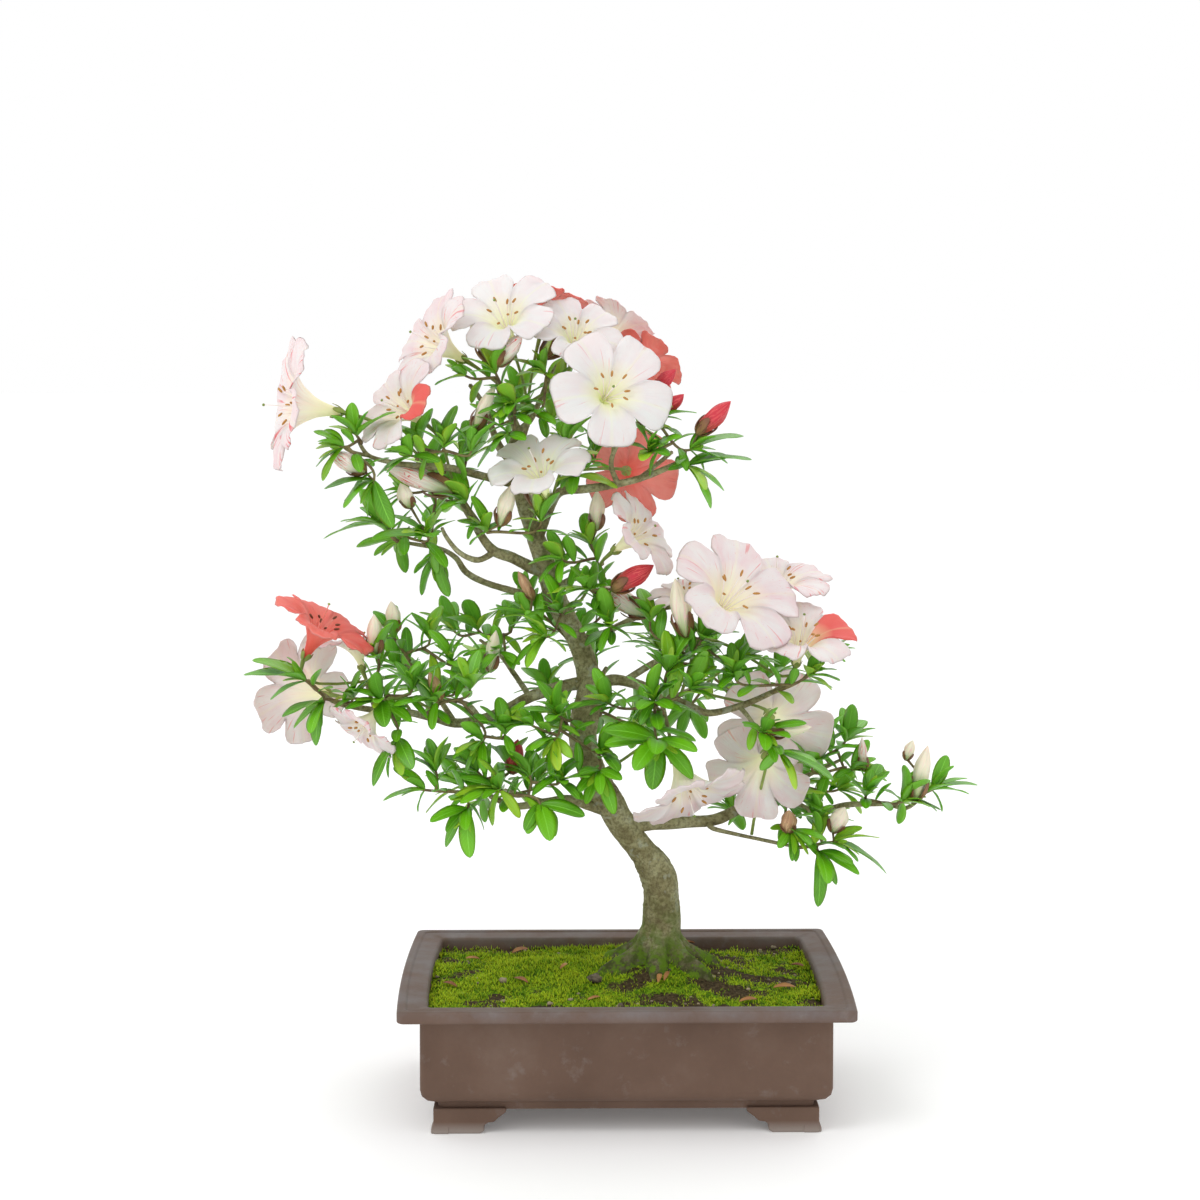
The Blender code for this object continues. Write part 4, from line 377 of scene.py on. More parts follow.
# What part.py tries in turn when a place is taken: moves in depth in millimetres, turns in degrees.
WHORL_FORKS = (0, 5, -5, 10, -10, 16, -16, 22, -22, 28, -28)
LEAF_TURNS = (0, 16, -16, 32, -32, 48, -48, 64, -64)
BUD_PUSHES = (0, 5, -5, 10, -10, 15, -15, 20, -20)
BLOOM_PUSHES = (0, 4, -4, 8, -8, 13, -13, 18, -18, 24, -24, 30, -30)
# Millimetres between the places on the wood where a stem may start.
WOOD_STEP = 4.0
# Least distance between two of the places tried for one stem.
ROOTS_APART = 7.0
# Gaps between a stem and the wood, and between two forks of one spray.
STEM_GAP, FORK_GAP = 0.5, 2.6
# Stations along a leaf, and places across it from edge to edge.
LEAF_STEPS = (0.03, 0.1, 0.2, 0.32, 0.45, 0.58, 0.7, 0.81, 0.9, 0.965)
LEAF_ACROSS = (-1.0, -0.55, 0.0, 0.55, 1.0)
# Order of a station's eight points: the upper side from edge to edge, then back below.
LEAF_ROUND = (0, 1, 2, 3, 4, 7, 6, 5)
LEAF_THICK = 0.32
# Points across one lobe of the corolla.
LOBE_POINTS = 18
# Radius and height of the corolla from stalk to lobe edge, for a bloom of this width.
CROWN_WIDTH = 62.0
CROWN = ((1.7, 1.0), (2.1, 4.5), (3.0, 9.0), (4.5, 13.5), (6.8, 17.2), (9.6, 20.8), (13.0, 23.8),
         (17.0, 25.9), (21.0, 27.0), (25.0, 27.6), (28.5, 27.7), (31.4, 27.3), (33.0, 26.6))
MOSS_BLADES = 17000
# Columns and rows of the moss bed, and the height of its underside.
BED_COLUMNS, BED_ROWS, BED_LOW_Z = 150, 100, 62.0
# Half sizes of the moss bed before it is held inside the wall.
BED_X = RIM_HALF_X - POT_INNER_INSET + 3.0
BED_Y = RIM_HALF_Y - POT_INNER_INSET
STONES = 150
# Column and row in the picture, height over the moss, size, and key of the two larger stones.
LARGE_STONES = ((503, 983, 1.6, 2.6, 3), (595, 982, 2.0, 4.2, 8))
PETAL_ROWS, PETAL_THICK = 20, 0.42
# Share of the way up the tube where the lobes begin to part.
LOBES_FROM = 0.34
STAMENS = 8
# Turn of the style from the bloom's own roll, in degrees.
STYLE_TURN = 30
BUD_SIDES = 15
BUD_STEPS = (0.02, 0.08, 0.16, 0.26, 0.36, 0.47, 0.58, 0.68, 0.78, 0.87, 0.94, 0.985)
# Turn from one leaf to the next round a twig, in degrees.
LEAF_SPIRAL = 137.5
# Tries at adding leaves to a shoot, and how alike two leaves' directions may be.
EXTRA_TRIES, TOO_ALIKE = 16, 0.86
# Millimetres of stem from one side leaf to the next.
SIDE_LEAF_STEP = 5.5
# How far past the frame's box a leaf's tip may reach, in metres.
BOX_SLACK = 0.003
FLARE_SIDES, FLARE_RINGS, FLARE_FOOT_Z = 96, 30, 62.0
# How far the bark's grain is stretched along the wood.
BARK_STRETCH = 0.72
# Edges of the pot sharper than this are kept, and rounded off a little.
SHARP_DEGREES = 35
BLACK, CORAL = (0.0, 0.0, 0.0), (0.78, 0.075, 0.07)
THROAT_GLOW, WORLD_LIGHT = 0.16, 1.0
# Half the side of the floor, and the height that the lamps point at, in metres.
FLOOR_HALF, LAMP_AIM_Z = 20, 0.28
# Share of its own light that keeps the far floor as white as the background.
FLOOR_GLOW = 0.09
# Name, place, size in metres and power in watts.
LAMPS = (
    ("key", (-1.0, -1.1, 2.0), (0.9, 0.9), 11.0),
    ("rim", (0.5, 1.4, 1.8), (1.2, 0.8), 5.0),
)
# Column, row and length in millimetres of the dried leaves on the moss.
FALLEN = ((512, 956, 13.0), (528, 986, 12.0), (457, 990, 11.0), (773, 991, 14.0), (739, 1005, 12.0),
          (695, 946, 9.0), (658, 986, 10.0), (664, 984, 9.0), (600, 1000, 8.0), (790, 968, 10.0),
          (560, 972, 8.0), (480, 962, 9.0))
# Body, blush, stripe, stripe density, throat and fleck share of each kind of petal.
PETALS = {
    "white": ((0.80, 0.765, 0.75), (0.80, 0.69, 0.69), (0.74, 0.20, 0.22), 0.0,
              (0.85, 0.90, 0.44), 0.12),
    "pink": ((0.79, 0.71, 0.70), (0.78, 0.56, 0.58), (0.74, 0.13, 0.15), 0.25, (0.88, 0.86, 0.48), 0.35),
    "mixed": ((0.79, 0.72, 0.70), (0.78, 0.59, 0.60), (0.74, 0.10, 0.11), 0.4, (0.88, 0.86, 0.48), 0.4),
    "red": ((0.76, 0.062, 0.055), (0.82, 0.13, 0.11), (0.55, 0.015, 0.03), 0.1, (0.70, 0.09, 0.06), 0.2),
}
# Share of coral in each lobe of the blooms of two colours.
CORAL_LOBES = {
    "half_red": (0.0, 0.0, 1.0, 0.35, 0.0), "cluster_half_red": (0.0, 0.0, 0.1, 0.38, 1.0),
    "cluster_left": (0.0, 0.0, 0.3, 0.0, 0.0),
}
# Stripe density and fleck share of the blooms that carry more than their kind.
PETAL_STRIPES = {
    "far_left": (1.0, 0.8), "top_left": (0.45, 0.6), "left_nodding": (0.6, 0.6),
    "cluster_back": (0.5, 0.5), "low_back": (0.15, 0.2), "hanging": (0.1, 0.15),
}


def seen(column, row, depth):
    """The point, in millimetres, that the picture shows at a pixel, at a depth behind centre."""
    cy, sy = math.cos(CAM_YAW), math.sin(CAM_YAW)
    cp, sp = math.cos(CAM_PITCH), math.sin(CAM_PITCH)
    right = Vector((cy, sy, 0.0))
    level = Vector((-sy, cy, 0.0))
    forward = level * cp - Vector((0.0, 0.0, sp))
    up = level * sp + Vector((0.0, 0.0, cp))
    ray = forward * CAM_FOCAL + right * (column - CAM_CENTRE) - up * (row - CAM_CENTRE)
    return CAM_AT + ray * ((depth - CAM_AT.y) / ray.y) - SHIFT


TRUNK_FOOT = seen(*TRUNK[0][:3])


def draw(*keys):
    """A fixed number from 0 to 1 for a set of keys."""
    value = 0.0
    for i, key in enumerate(keys):
        value += (key + 1.0) * (12.9898, 78.233, 37.719, 94.673)[i]
    return math.modf(abs(math.sin(value)) * 43758.5453)[0]


def side_of(axis):
    """A unit vector square to an axis."""
    other = Vector((0.0, 0.0, 1.0)) if abs(axis.z) < 0.8 else Vector((1.0, 0.0, 0.0))
    return axis.cross(other).normalized()


def square_to(way, axis):
    """The part of a vector that is square to an axis."""
    return way - axis * way.dot(axis)


def spoke(side, other, a):
    """The direction at an angle, in radians, between two ways across."""
    return side * math.cos(a) + other * math.sin(a)


def even(tone=0.0, along=0.0, last=1.0):
    """The mark of a surface with nothing across it."""
    return (along, 0.5, tone, last)


def eased(t):
    """A share from 0 to 1 that starts and ends gently."""
    return t * t * (3 - 2 * t)


def bezier(points, t):
    """A point of the cubic through four handles."""
    a, b, c, d = points
    u = 1.0 - t
    return a * u ** 3 + b * (3 * u * u * t) + c * (3 * u * t * t) + d * t ** 3


def smooth_path(points, radii, step):
    """Points and radii every so many millimetres on a smooth curve through points."""
    out, fat = [], []
    last = len(points) - 1
    for i in range(last):
        p0, p1, p2, p3 = (points[min(max(i + k, 0), last)] for k in (-1, 0, 1, 2))
        count = max(2, int((p2 - p1).length / step))
        for k in range(count):
            t = k / count
            out.append(0.5 * (p1 * 2 + (p2 - p0) * t + (p0 * 2 - p1 * 5 + p2 * 4 - p3) * t * t
                              + (p1 * 3 - p0 - p2 * 3 + p3) * t ** 3))
            fat.append(radii[i] + (radii[i + 1] - radii[i]) * eased(t))
    return out + [points[-1]], fat + [radii[-1]]


class Piece:
    """Vertices, faces, a mark for each vertex and a material index for each face."""

    def __init__(self, name):
        self.name, self.verts, self.faces, self.marks, self.paints = name, [], [], [], []

    def add(self, verts, faces, marks, paint=0):
        start = len(self.verts)
        self.verts.extend(verts)
        self.faces.extend(tuple(start + i for i in face) for face in faces)
        self.marks.extend(marks if isinstance(marks, list) else [marks] * len(verts))
        self.paints.extend([paint] * len(faces))

    def make(self, paints, nodes, sharp=None):
        """The mesh object, riding on the part and standing for nodes of the frame."""
        mesh = bpy.data.meshes.new(self.name)
        mesh.from_pydata([v * MM for v in self.verts], [], self.faces)
        layer = mesh.color_attributes.new("mark", "FLOAT_COLOR", "POINT")
        layer.data.foreach_set("color", [c for mark in self.marks for c in mark])
        for paint in paints:
            mesh.materials.append(paint)
        mesh.polygons.foreach_set("material_index", self.paints)
        mesh.polygons.foreach_set("use_smooth", [True] * len(mesh.polygons))
        work = bmesh.new()
        work.from_mesh(mesh)
        bmesh.ops.recalc_face_normals(work, faces=work.faces)
        work.to_mesh(mesh)
        work.free()
        if sharp:
            mesh.set_sharp_from_angle(angle=math.radians(sharp))
        thing = bpy.data.objects.new(self.name, mesh)
        bpy.context.scene.collection.objects.link(thing)
        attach(thing, "root")
        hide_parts(*nodes)
        return thing


def ring_faces(rings, count):
    """Quads between rings of equal count whose vertices follow on one another."""
    faces = []
    for i in range(rings - 1):
        for k in range(count):
            n = (k + 1) % count
            faces.append((i * count + k, i * count + n, (i + 1) * count + n, (i + 1) * count + k))
    return faces


def loops(rings, first, last):
    """A closed body through rings of equal count, its ends closed by points, or by faces."""
    count = len(rings[0])
    verts = [v for ring in rings for v in ring]
    faces = ring_faces(len(rings), count)
    for point, start in ((first, 0), (last, (len(rings) - 1) * count)):
        ring = [start + k for k in range(count)]
        if start == 0:
            ring.reverse()
        if point is None:
            faces.append(tuple(ring))
            continue
        verts.append(point)
        faces.extend((ring[k], ring[(k + 1) % count], len(verts) - 1) for k in range(count))
    return verts, faces


def tube(path, radii, sides, rough=None):
    """A closed round tube through points, with an optional function for its roughness."""
    rings = []
    normal = side_of((path[1] - path[0]).normalized())
    for i, point in enumerate(path):
        ahead = (path[min(i + 1, len(path) - 1)] - path[max(i - 1, 0)]).normalized()
        normal = square_to(normal, ahead).normalized()
        other = ahead.cross(normal)
        ring = []
        for k in range(sides):
            a = 2 * math.pi * k / sides
            way = spoke(normal, other, a)
            r = radii[i]
            if rough:
                r += rough(point + way * r, ahead, r)
            ring.append(point + way * r)
        rings.append(ring)
    ahead = (path[-1] - path[-2]).normalized()
    return loops(rings, path[0].copy(), path[-1] + ahead * radii[-1] * 0.7)


# What the frame's nodes used.
def frame_points():
    """A tree of every vertex of the frame."""
    places = [v.co.copy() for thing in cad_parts.values() for v in thing.data.vertices]
    tree = KDTree(len(places))
    for i, place in enumerate(places):
        tree.insert(place, i)
    tree.balance()
    return tree


POINTS = frame_points()


def found(place):
    """Whether the frame has a vertex at a place, in millimetres."""
    return POINTS.find(place * MM)[2] < FOUND_WITHIN * MM


def solid_tree(names):
    """One tree of the faces of some nodes, in millimetres."""
    verts, faces = [], []
    for name in names:
        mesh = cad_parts[name].data
        start = len(verts)
        verts.extend(v.co / MM for v in mesh.vertices)
        faces.extend(tuple(start + i for i in p.vertices) for p in mesh.polygons)
    return BVHTree.FromPolygons(verts, faces)


def skeleton():
    """Points along every branch: place, radius, direction, and whether it is a tip."""
    places = []
    for points in [TRUNK[3:]] + list(BRANCHES.values()):
        path = [seen(*p[:3]) for p in points]
        for i in range(len(path) - 1):
            step = path[i + 1] - path[i]
            count = max(2, int(step.length / WOOD_STEP))
            for k in range(count):
                part = (k + 0.5) / count
                if i == 0 and part < 0.7:
                    continue
                radius = points[i][3] + (points[i + 1][3] - points[i][3]) * part
                places.append((path[i] + step * part, radius, step.normalized(), False))
        places.append((path[-1], points[-1][3], (path[-1] - path[-2]).normalized(), True))
    return places


def roots_for(target, wood, count):
    """The best places on the wood to grow a stem to a target, nearest first."""
    ranked = []
    for place, radius, ahead, tip in wood:
        way = target - place
        cost = way.length + 0.7 * max(0.0, -way.z) - (4.0 if tip else 0.0)
        if way.length > radius + 4.0 and not (tip and way.dot(ahead) < 0):
            ranked.append((cost, place, radius, ahead, tip))
    ranked.sort(key=lambda item: item[0])
    chosen = []
    for item in ranked:
        if all((item[1] - other[1]).length > ROOTS_APART for other in chosen):
            chosen.append(item)
        if len(chosen) == count:
            break
    return chosen


def stem_start(root, target, radius):
    """Where a stem begins, just clear of the wood, and the way it leaves."""
    _, place, wood_radius, ahead, tip = root
    way = (target - place).normalized()
    if tip:
        return place + ahead * (STEM_GAP + radius * 0.5), (ahead + way).normalized()
    out = square_to(way, ahead)
    out = out.normalized() if out.length > 0.2 else side_of(ahead)
    return place + out * (wood_radius + STEM_GAP + radius * 0.8), (out + way * 0.8).normalized()


def whorl_axis(centre, origin, lift):
    """The way a shoot points: along its stem, lifted, and outward from the trunk."""
    outward = Vector((centre.x - 8.0, centre.y, 0.0))
    outward = outward.normalized() if outward.length > 1.0 else Vector((0.0, -1.0, 0.0))
    way = (centre - origin).normalized()
    return (way * 0.5 + Vector((0.0, 0.0, lift)) + outward * 0.5).normalized()


def leaf_choice(key, i, hub, axis, length, aimed, depth, turn):
    """Root, tip, upper side, arch and width of one leaf for one of its turns."""
    root = hub.copy()
    if i < len(aimed):
        tip = seen(*aimed[i], depth + 26.0 * (draw(key, i, 1) - 0.62) + turn * 0.35)
        length = (tip - root).length
    else:
        side = side_of(axis)
        other = axis.cross(side)
        a = math.radians(LEAF_SPIRAL * i + 360 * draw(key, 2) + turn)
        rise = math.radians(66 - 4.5 * min(i, 7) + 18 * (draw(key, i, 3) - 0.5))
        way = spoke(side, other, a) * math.sin(rise) + axis * math.cos(rise)
        length = length * (0.78 + 0.4 * draw(key, i, 4)) * (1 - abs(turn) / 320)
        tip = root + way * length - Vector((0.0, 0.0, length * 0.12))
    way = (tip - root).normalized()
    up = square_to(axis * 0.6 + Vector((0.0, 0.0, 0.9)), way)
    up = up.normalized() if up.length > 0.15 else side_of(way)
    width = min(12.0, max(5.5, length * (0.30 + 0.08 * draw(key, i, 5))))
    return root, tip, up, length * 0.14, width


# Leaves, buds and twigs.
def leaf_width(t):
    """Share of a leaf's full width along its length."""
    return 2.5 * t ** 0.75 * (1.0 - t) ** 0.6


def leaf_line(root, tip, up, arch, t):
    """The midrib of a leaf: a bow from root to tip."""
    bend = (root + tip) / 2 + up * arch
    u = 1.0 - t
    return root * u * u + bend * (2 * u * t) + tip * t * t


def grow_leaf(piece, root, tip, up, arch, width, tone, paint=0, curl=0.16):
    """A thin leaf with a folded midrib and faintly waved edges."""
    verts, marks = [], []
    phase = 6.28 * tone
    for t in LEAF_STEPS:
        at = leaf_line(root, tip, up, arch, t)
        ahead = (leaf_line(root, tip, up, arch, t + 0.03) - at).normalized()
        side = ahead.cross(up).normalized()
        above = side.cross(ahead)
        half = 0.5 * width * leaf_width(t)
        for upper, places in ((1.0, LEAF_ACROSS), (0.0, LEAF_ACROSS[1:-1])):
            for c in places:
                lift = half * (curl + 0.22 * (1 - t)) * abs(c) ** 1.3 - 0.10 * half * c * c * t
                if upper:
                    lift += 0.07 * half * c * c * math.sin(9.0 * t + phase + 2.0 * c)
                else:
                    lift -= LEAF_THICK
                verts.append(at + side * (half * c) + above * lift)
                marks.append((t, 0.5 + 0.5 * c, tone, upper))
    verts += [leaf_line(root, tip, up, arch, 0.0), tip.copy()]
    marks += [even(tone), even(tone, 1.0)]
    faces = []
    foot = len(LEAF_STEPS) * 8
    for a, b in zip(LEAF_ROUND, LEAF_ROUND[1:] + LEAF_ROUND[:1]):
        for i in range(0, foot - 8, 8):
            faces.append((i + a, i + b, i + 8 + b, i + 8 + a))
        faces += [(b, a, foot), (foot - 8 + a, foot - 8 + b, foot + 1)]
    piece.add(verts, faces, marks, paint)


def bud_girth(t):
    """Share of a bud's full radius along its length."""
    if t < 0.55:
        return max(0.0, 1.0 - (1.0 - t / 0.55) ** 2) ** 0.55
    return max(0.0, 1.0 - ((t - 0.55) / 0.45) ** 1.7) ** 0.95


def grow_bud(piece, root, base, tip, radius, tone, paint, twig):
    """A furled pointed bud on its stalk, with scales about its foot."""
    axis = tip - base
    length = axis.length
    ahead = axis / length
    side = side_of(ahead)
    other = ahead.cross(side)
    if (base - root).length > 1.5:
        points = [root, (root + base) / 2 + ahead * 0.4, base + ahead]
        piece.add(*tube(*smooth_path(points, [0.75, 0.7, 0.9], 2.0), 6), even(tone), twig)
    rings, marks = [], []
    for t in BUD_STEPS:
        ring = []
        for k in range(BUD_SIDES):
            a = 2 * math.pi * k / BUD_SIDES
            fold = math.cos(5.0 * a - 5.0 * t + 6.0 * tone)
            r = radius * 1.02 * bud_girth(t) * (1.0 + 0.12 * fold * min(1.0, 3 * t))
            ring.append(base + axis * t + spoke(side, other, a) * r)
            marks.append((t, 0.5 + 0.5 * fold, tone, 1.0))
        rings.append(ring)
    marks += [even(tone), even(tone, 1.0)]
    piece.add(*loops(rings, base.copy(), tip.copy()), marks, paint)
    for k in range(6):
        a = 2 * math.pi * (k / 6 + 0.13 * (k % 2))
        way = spoke(side, other, a)
        reach = (0.44 if k % 2 else 0.3) * length
        start = base - ahead * 0.6 + way * radius * 0.1
        end = base + ahead * reach + way * radius * (bud_girth(reach / length) + 0.12)
        scale_tone = 0.15 + 0.6 * draw(k, tone)
        grow_leaf(piece, start, end, way, reach * 0.34, radius * 1.05, scale_tone, twig + 1, 0.0)


def bud_paint(tx, ty):
    """Which of a spray's materials a bud takes."""
    if (tx, ty) in RED_BUDS:
        return 4
    if (tx, ty) in STRIPED_BUDS:
        return 5
    return 6 if (tx, ty) in BROWN_BUDS else 3


def nearest_shoots():
    """Each bud given to the shoot nearest its base in the picture."""
    given = {}
    for bud in BUDS:
        best = None
        for name, shoots in SPRAYS.items():
            for n, shoot in enumerate(shoots):
                if not shoot[5]:
                    continue
                far = math.hypot(shoot[0] - bud[0], shoot[1] - bud[1])
                if best is None or far < best[0]:
                    best = (far, name, n)
        given.setdefault(best[1:], []).append(bud)
    return given


def leaves_found(shoot, key, length, aimed):
    """How many leaves of one try at a shoot the frame has."""
    centre, axis, depth = shoot[2:]
    count = 0
    for i in range(LEAVES):
        for turn in LEAF_TURNS:
            if found(leaf_choice(key, i, centre, axis, length, aimed, depth, turn)[1]):
                count += 1
                break
    return count


def shoots_of(name, order, wood):
    """The shoots of a spray as the frame has them: number, stem handles, hub, axis and depth."""
    stems, forks, shoots = [], [], []
    for n, (px, py, depth, length, lift, aimed) in enumerate(SPRAYS[name]):
        tried = []
        for push in WHORL_FORKS:
            centre = seen(px, py, depth + push)
            if n == 0:
                options = roots_for(centre, wood, 5)
            else:
                free = [p for p in stems if all((p - q).length > FORK_GAP for q in forks)]
                free.sort(key=lambda p: (p - centre).length + 0.5 * max(0, p.z - centre.z))
                options = free[:3] or stems[:1]
            for option in options:
                if n == 0:
                    start, leave = stem_start(option, centre, 1.0)
                else:
                    start, leave = option, (centre - option).normalized()
                axis = whorl_axis(centre, start, lift)
                reach = (centre - start).length * 0.35
                handles = (start, start + leave * reach, centre - axis * reach, centre)
                tried.append((n, handles, centre, axis, depth + push))
        # A stem's tip can lie inside a leaf of its node: then the leaves tell which try was kept.
        key = order * 10 + n
        made = next((one for one in tried if found(one[2] + one[3] * 5.0)), None)
        made = made or max(tried, key=lambda one: leaves_found(one, key, length, aimed))
        handles = made[1]
        forks.append(handles[0])
        long = (handles[3] - handles[0]).length > 30
        path = [bezier(handles, t) for t in ((0.0, 0.35, 0.7, 1.0) if long else (0.0, 0.5, 1.0))]
        spine = path[:-1] + [made[2] - made[3] * 1.3]
        for a, b in list(zip(spine, spine[1:]))[1:]:
            stems.extend(a + (b - a) * part for part in (0.15, 0.5, 0.85))
        shoots.append(made)
    return shoots


def clear_of(tree, root, tip, up, width, least):
    """Whether a leaf between two points stands clear of the solids of a tree."""
    side = (tip - root).cross(up).normalized() * (width * 0.45)
    middle = (root + tip) / 2 + up * 1.5
    foot = root + (tip - root) * least
    verts = [foot, middle + side, middle - side, tip]
    return not tree.overlap(BVHTree.FromPolygons(verts, [(0, 1, 2), (1, 3, 2)]))


def inside_box(place):
    """Whether a point lies in the frame's box, or just past its edge."""
    low, high = CAD_BOX
    return all(low[i] - BOX_SLACK < place[i] * MM < high[i] + BOX_SLACK for i in range(3))


def frame_leaves(piece, key, shoot, length, aimed):
    """The leaves of a shoot that the frame has too; their directions."""
    centre, axis, depth = shoot
    spread = []
    for i in range(LEAVES):
        for turn in LEAF_TURNS:
            root, tip, up, arch, width = leaf_choice(key, i, centre, axis, length, aimed, depth, turn)
            if found(tip):
                grow_leaf(piece, root, tip, up, arch, width * 1.16, draw(key, i, 11))
                spread.append((tip - root).normalized())
                break
    return spread


def more_leaves(piece, key, shoot, length, first, spread, solids):
    """Further leaves of a shoot, apart from its others and clear of the solids."""
    centre, axis, depth = shoot
    more = MORE_LEAVES + (1 if draw(key, 40) > 0.5 else 0)
    for i in range(first, first + EXTRA_TRIES):
        if more == 0:
            break
        root, tip, up, arch, width = leaf_choice(key, i, centre, axis, length * 0.98, (), depth, 0)
        way = (tip - root).normalized()
        if any(way.dot(other) > TOO_ALIKE for other in spread) or not inside_box(tip):
            continue
        if clear_of(solids, root, tip, up, width, 0.3):
            grow_leaf(piece, root, tip, up, arch, width * 1.08, draw(key, i, 11))
            spread.append(way)
            more -= 1


def young_leaves(piece, key, shoot):
    """The three small upright leaves at the end of a shoot."""
    centre, axis, depth = shoot
    for k in range(2):
        root, tip, up, arch, _ = leaf_choice(key, 6 + k, centre + axis * 1.5, axis, 12.0, (), depth, 30)
        grow_leaf(piece, root, tip + axis * 4.0, up, arch, 4.2, 0.86 + 0.1 * k)
    grow_leaf(piece, centre + axis * 1.8, centre + axis * 8.5, side_of(axis), 0.4, 2.6, 0.93)


def side_leaves(piece, key, handles, axis, length, solids):
    """Leaves along a stem, below its shoot."""
    stem = (handles[3] - handles[0]).length
    for k in range(int(stem / SIDE_LEAF_STEP)):
        t = (k + 1.2) / (stem / SIDE_LEAF_STEP + 1.0)
        if t > 0.9:
            break
        at = bezier(handles, t)
        ahead = (bezier(handles, t + 0.05) - at).normalized()
        side = side_of(ahead)
        out = spoke(side, ahead.cross(side), math.radians(LEAF_SPIRAL * k + 360 * draw(key, 50)))
        way = (out * 0.9 + ahead * 0.6 + Vector((0.0, 0.0, 0.25))).normalized()
        reach = length * (0.55 + 0.35 * draw(key, k, 51))
        tip = at + way * reach
        up = square_to(axis * 0.3 + Vector((0.0, 0.0, 1.0)), way).normalized()
        if inside_box(tip) and clear_of(solids, at, tip, up, 7.0, 0.35):
            grow_leaf(piece, at, tip, up, reach * 0.12, min(9.0, reach * 0.36), draw(key, k, 52))


def dress_spray(name, order, wood, buds, solids, paints):
    """The twigs, leaves and buds of one spray."""
    piece = Piece("foliage_" + name)
    for n, handles, centre, axis, depth in shoots_of(name, order, wood):
        length, aimed = SPRAYS[name][n][3], SPRAYS[name][n][5]
        key = order * 10 + n
        shoot = (centre, axis, depth)
        steps = max(5, int((handles[3] - handles[0]).length / 3.0))
        path = [bezier(handles, t / steps) for t in range(steps + 1)] + [centre + axis * 2.5]
        thick, taper = (1.0, 0.25) if n else (1.3, 0.5)
        fat = [thick - taper * t / steps for t in range(steps + 2)]
        piece.add(*tube(path, fat, 7), even(draw(key, 31)), 1)
        for bx, by, tx, ty, radius in buds.get((name, n), ()):
            for push in BUD_PUSHES:
                tip = seen(tx, ty, depth - 4.0 + push)
                if found(tip):
                    base = seen(bx, by, depth - 1.0 + push * 0.5)
                    root = centre + axis * 0.5
                    grow_bud(piece, root, base, tip, radius, draw(bx, by), bud_paint(tx, ty), 1)
                    break
        spread = frame_leaves(piece, key, shoot, length, aimed)
        more_leaves(piece, key, shoot, length, len(aimed) + LEAVES + 1, spread, solids)
        young_leaves(piece, key, shoot)
        side_leaves(piece, key, handles, axis, length, solids)
    piece.make(paints, ["spray_" + name])


# Blooms.
def crown(u):
    """Radius and height of a whole lobe at a share of the way from stalk to edge."""
    x = u * (len(CROWN) - 1)
    i = min(int(x), len(CROWN) - 2)
    a, b = CROWN[i], CROWN[i + 1]
    return tuple(a[k] + (b[k] - a[k]) * (x - i) for k in range(2))


def bloom_frame(spec, push):
    """Base, axis, the two ways across and the scale of a bloom at one push in depth."""
    bx, by, bd, mx, my, md, width = spec[:7]
    base, mouth = seen(bx, by, bd + push), seen(mx, my, md + push)
    axis = (mouth - base).normalized()
    side = side_of(axis)
    return base, axis, side, axis.cross(side), width / CROWN_WIDTH


def stamen_line(base, axis, side, other, s, turn, k):
    """Foot and end of a stamen; the first is the longer style."""
    way = spoke(side, other, math.radians(turn))
    foot = base + axis * (9.6 * s) + way * (1.2 * s)
    reach = (30.0 if k else 37.0) * s
    spread = (8.5 if k else 3.0) * s
    return foot, base + axis * reach + way * spread, way


def red_share(name, lobe):
    """How much of a lobe is coral."""
    return CORAL_LOBES[name][lobe] if name in CORAL_LOBES else 0.0


def petal_point(spec, grown, u, lobe, c, k, skin):
    """A point of the corolla: u from stalk to edge, c from -1 to 1 across a lobe."""
    base, axis, side, other, s = grown
    bx, roll = spec[0], spec[7]
    a = math.radians(72.0 * lobe + roll + 36.0 * c)
    way = spoke(side, other, a)
    across = side * -math.sin(a) + other * math.cos(a)
    wave = 1.0 + 0.10 * (draw(bx, lobe, 7) - 0.5)
    tilt = 3.0 * (draw(bx, lobe, 8) - 0.5)
    # The outline of a lobe: broad and round, cut between lobes to the funnel's mouth.
    cut = 1.0 - 0.46 * abs(c) ** 5.0 - 0.03 * (1.0 - abs(c)) * math.cos(3.14 * c)
    r, h = crown(u ** (1.0 + 0.15 * abs(c)) * (0.985 if abs(c) < 1 else 0.98))
    apart = max(0.0, (u - LOBES_FROM) / (1.0 - LOBES_FROM))
    r = CROWN[0][0] + (r - CROWN[0][0]) * (1.0 + (cut * wave - 1.0) * apart ** 0.8)
    h += apart * (1.6 * abs(c) ** 3 + tilt * apart * (1 - abs(c)))
    h -= apart ** 2 * (1.0 - c * c) * math.cos(1.57 * c)
    frill = math.sin(k * 1.9 + 5.0 * draw(bx, lobe, 9)) * 0.55
    frill += math.sin(k * 0.83 + 9.0 * draw(bx, lobe, 10)) * 0.9
    h += frill * apart ** 4
    twist = 1.2 * apart ** 3 * (draw(bx, lobe, 11) - 0.5)
    place = base + way * (r * s) + axis * (h * s) + across * (twist * c * s)
    if skin:
        slope = 1.0 - min(1.0, u * 1.6)
        place += axis * (PETAL_THICK * (1.0 - slope * 0.5)) - way * (PETAL_THICK * slope)
    return place


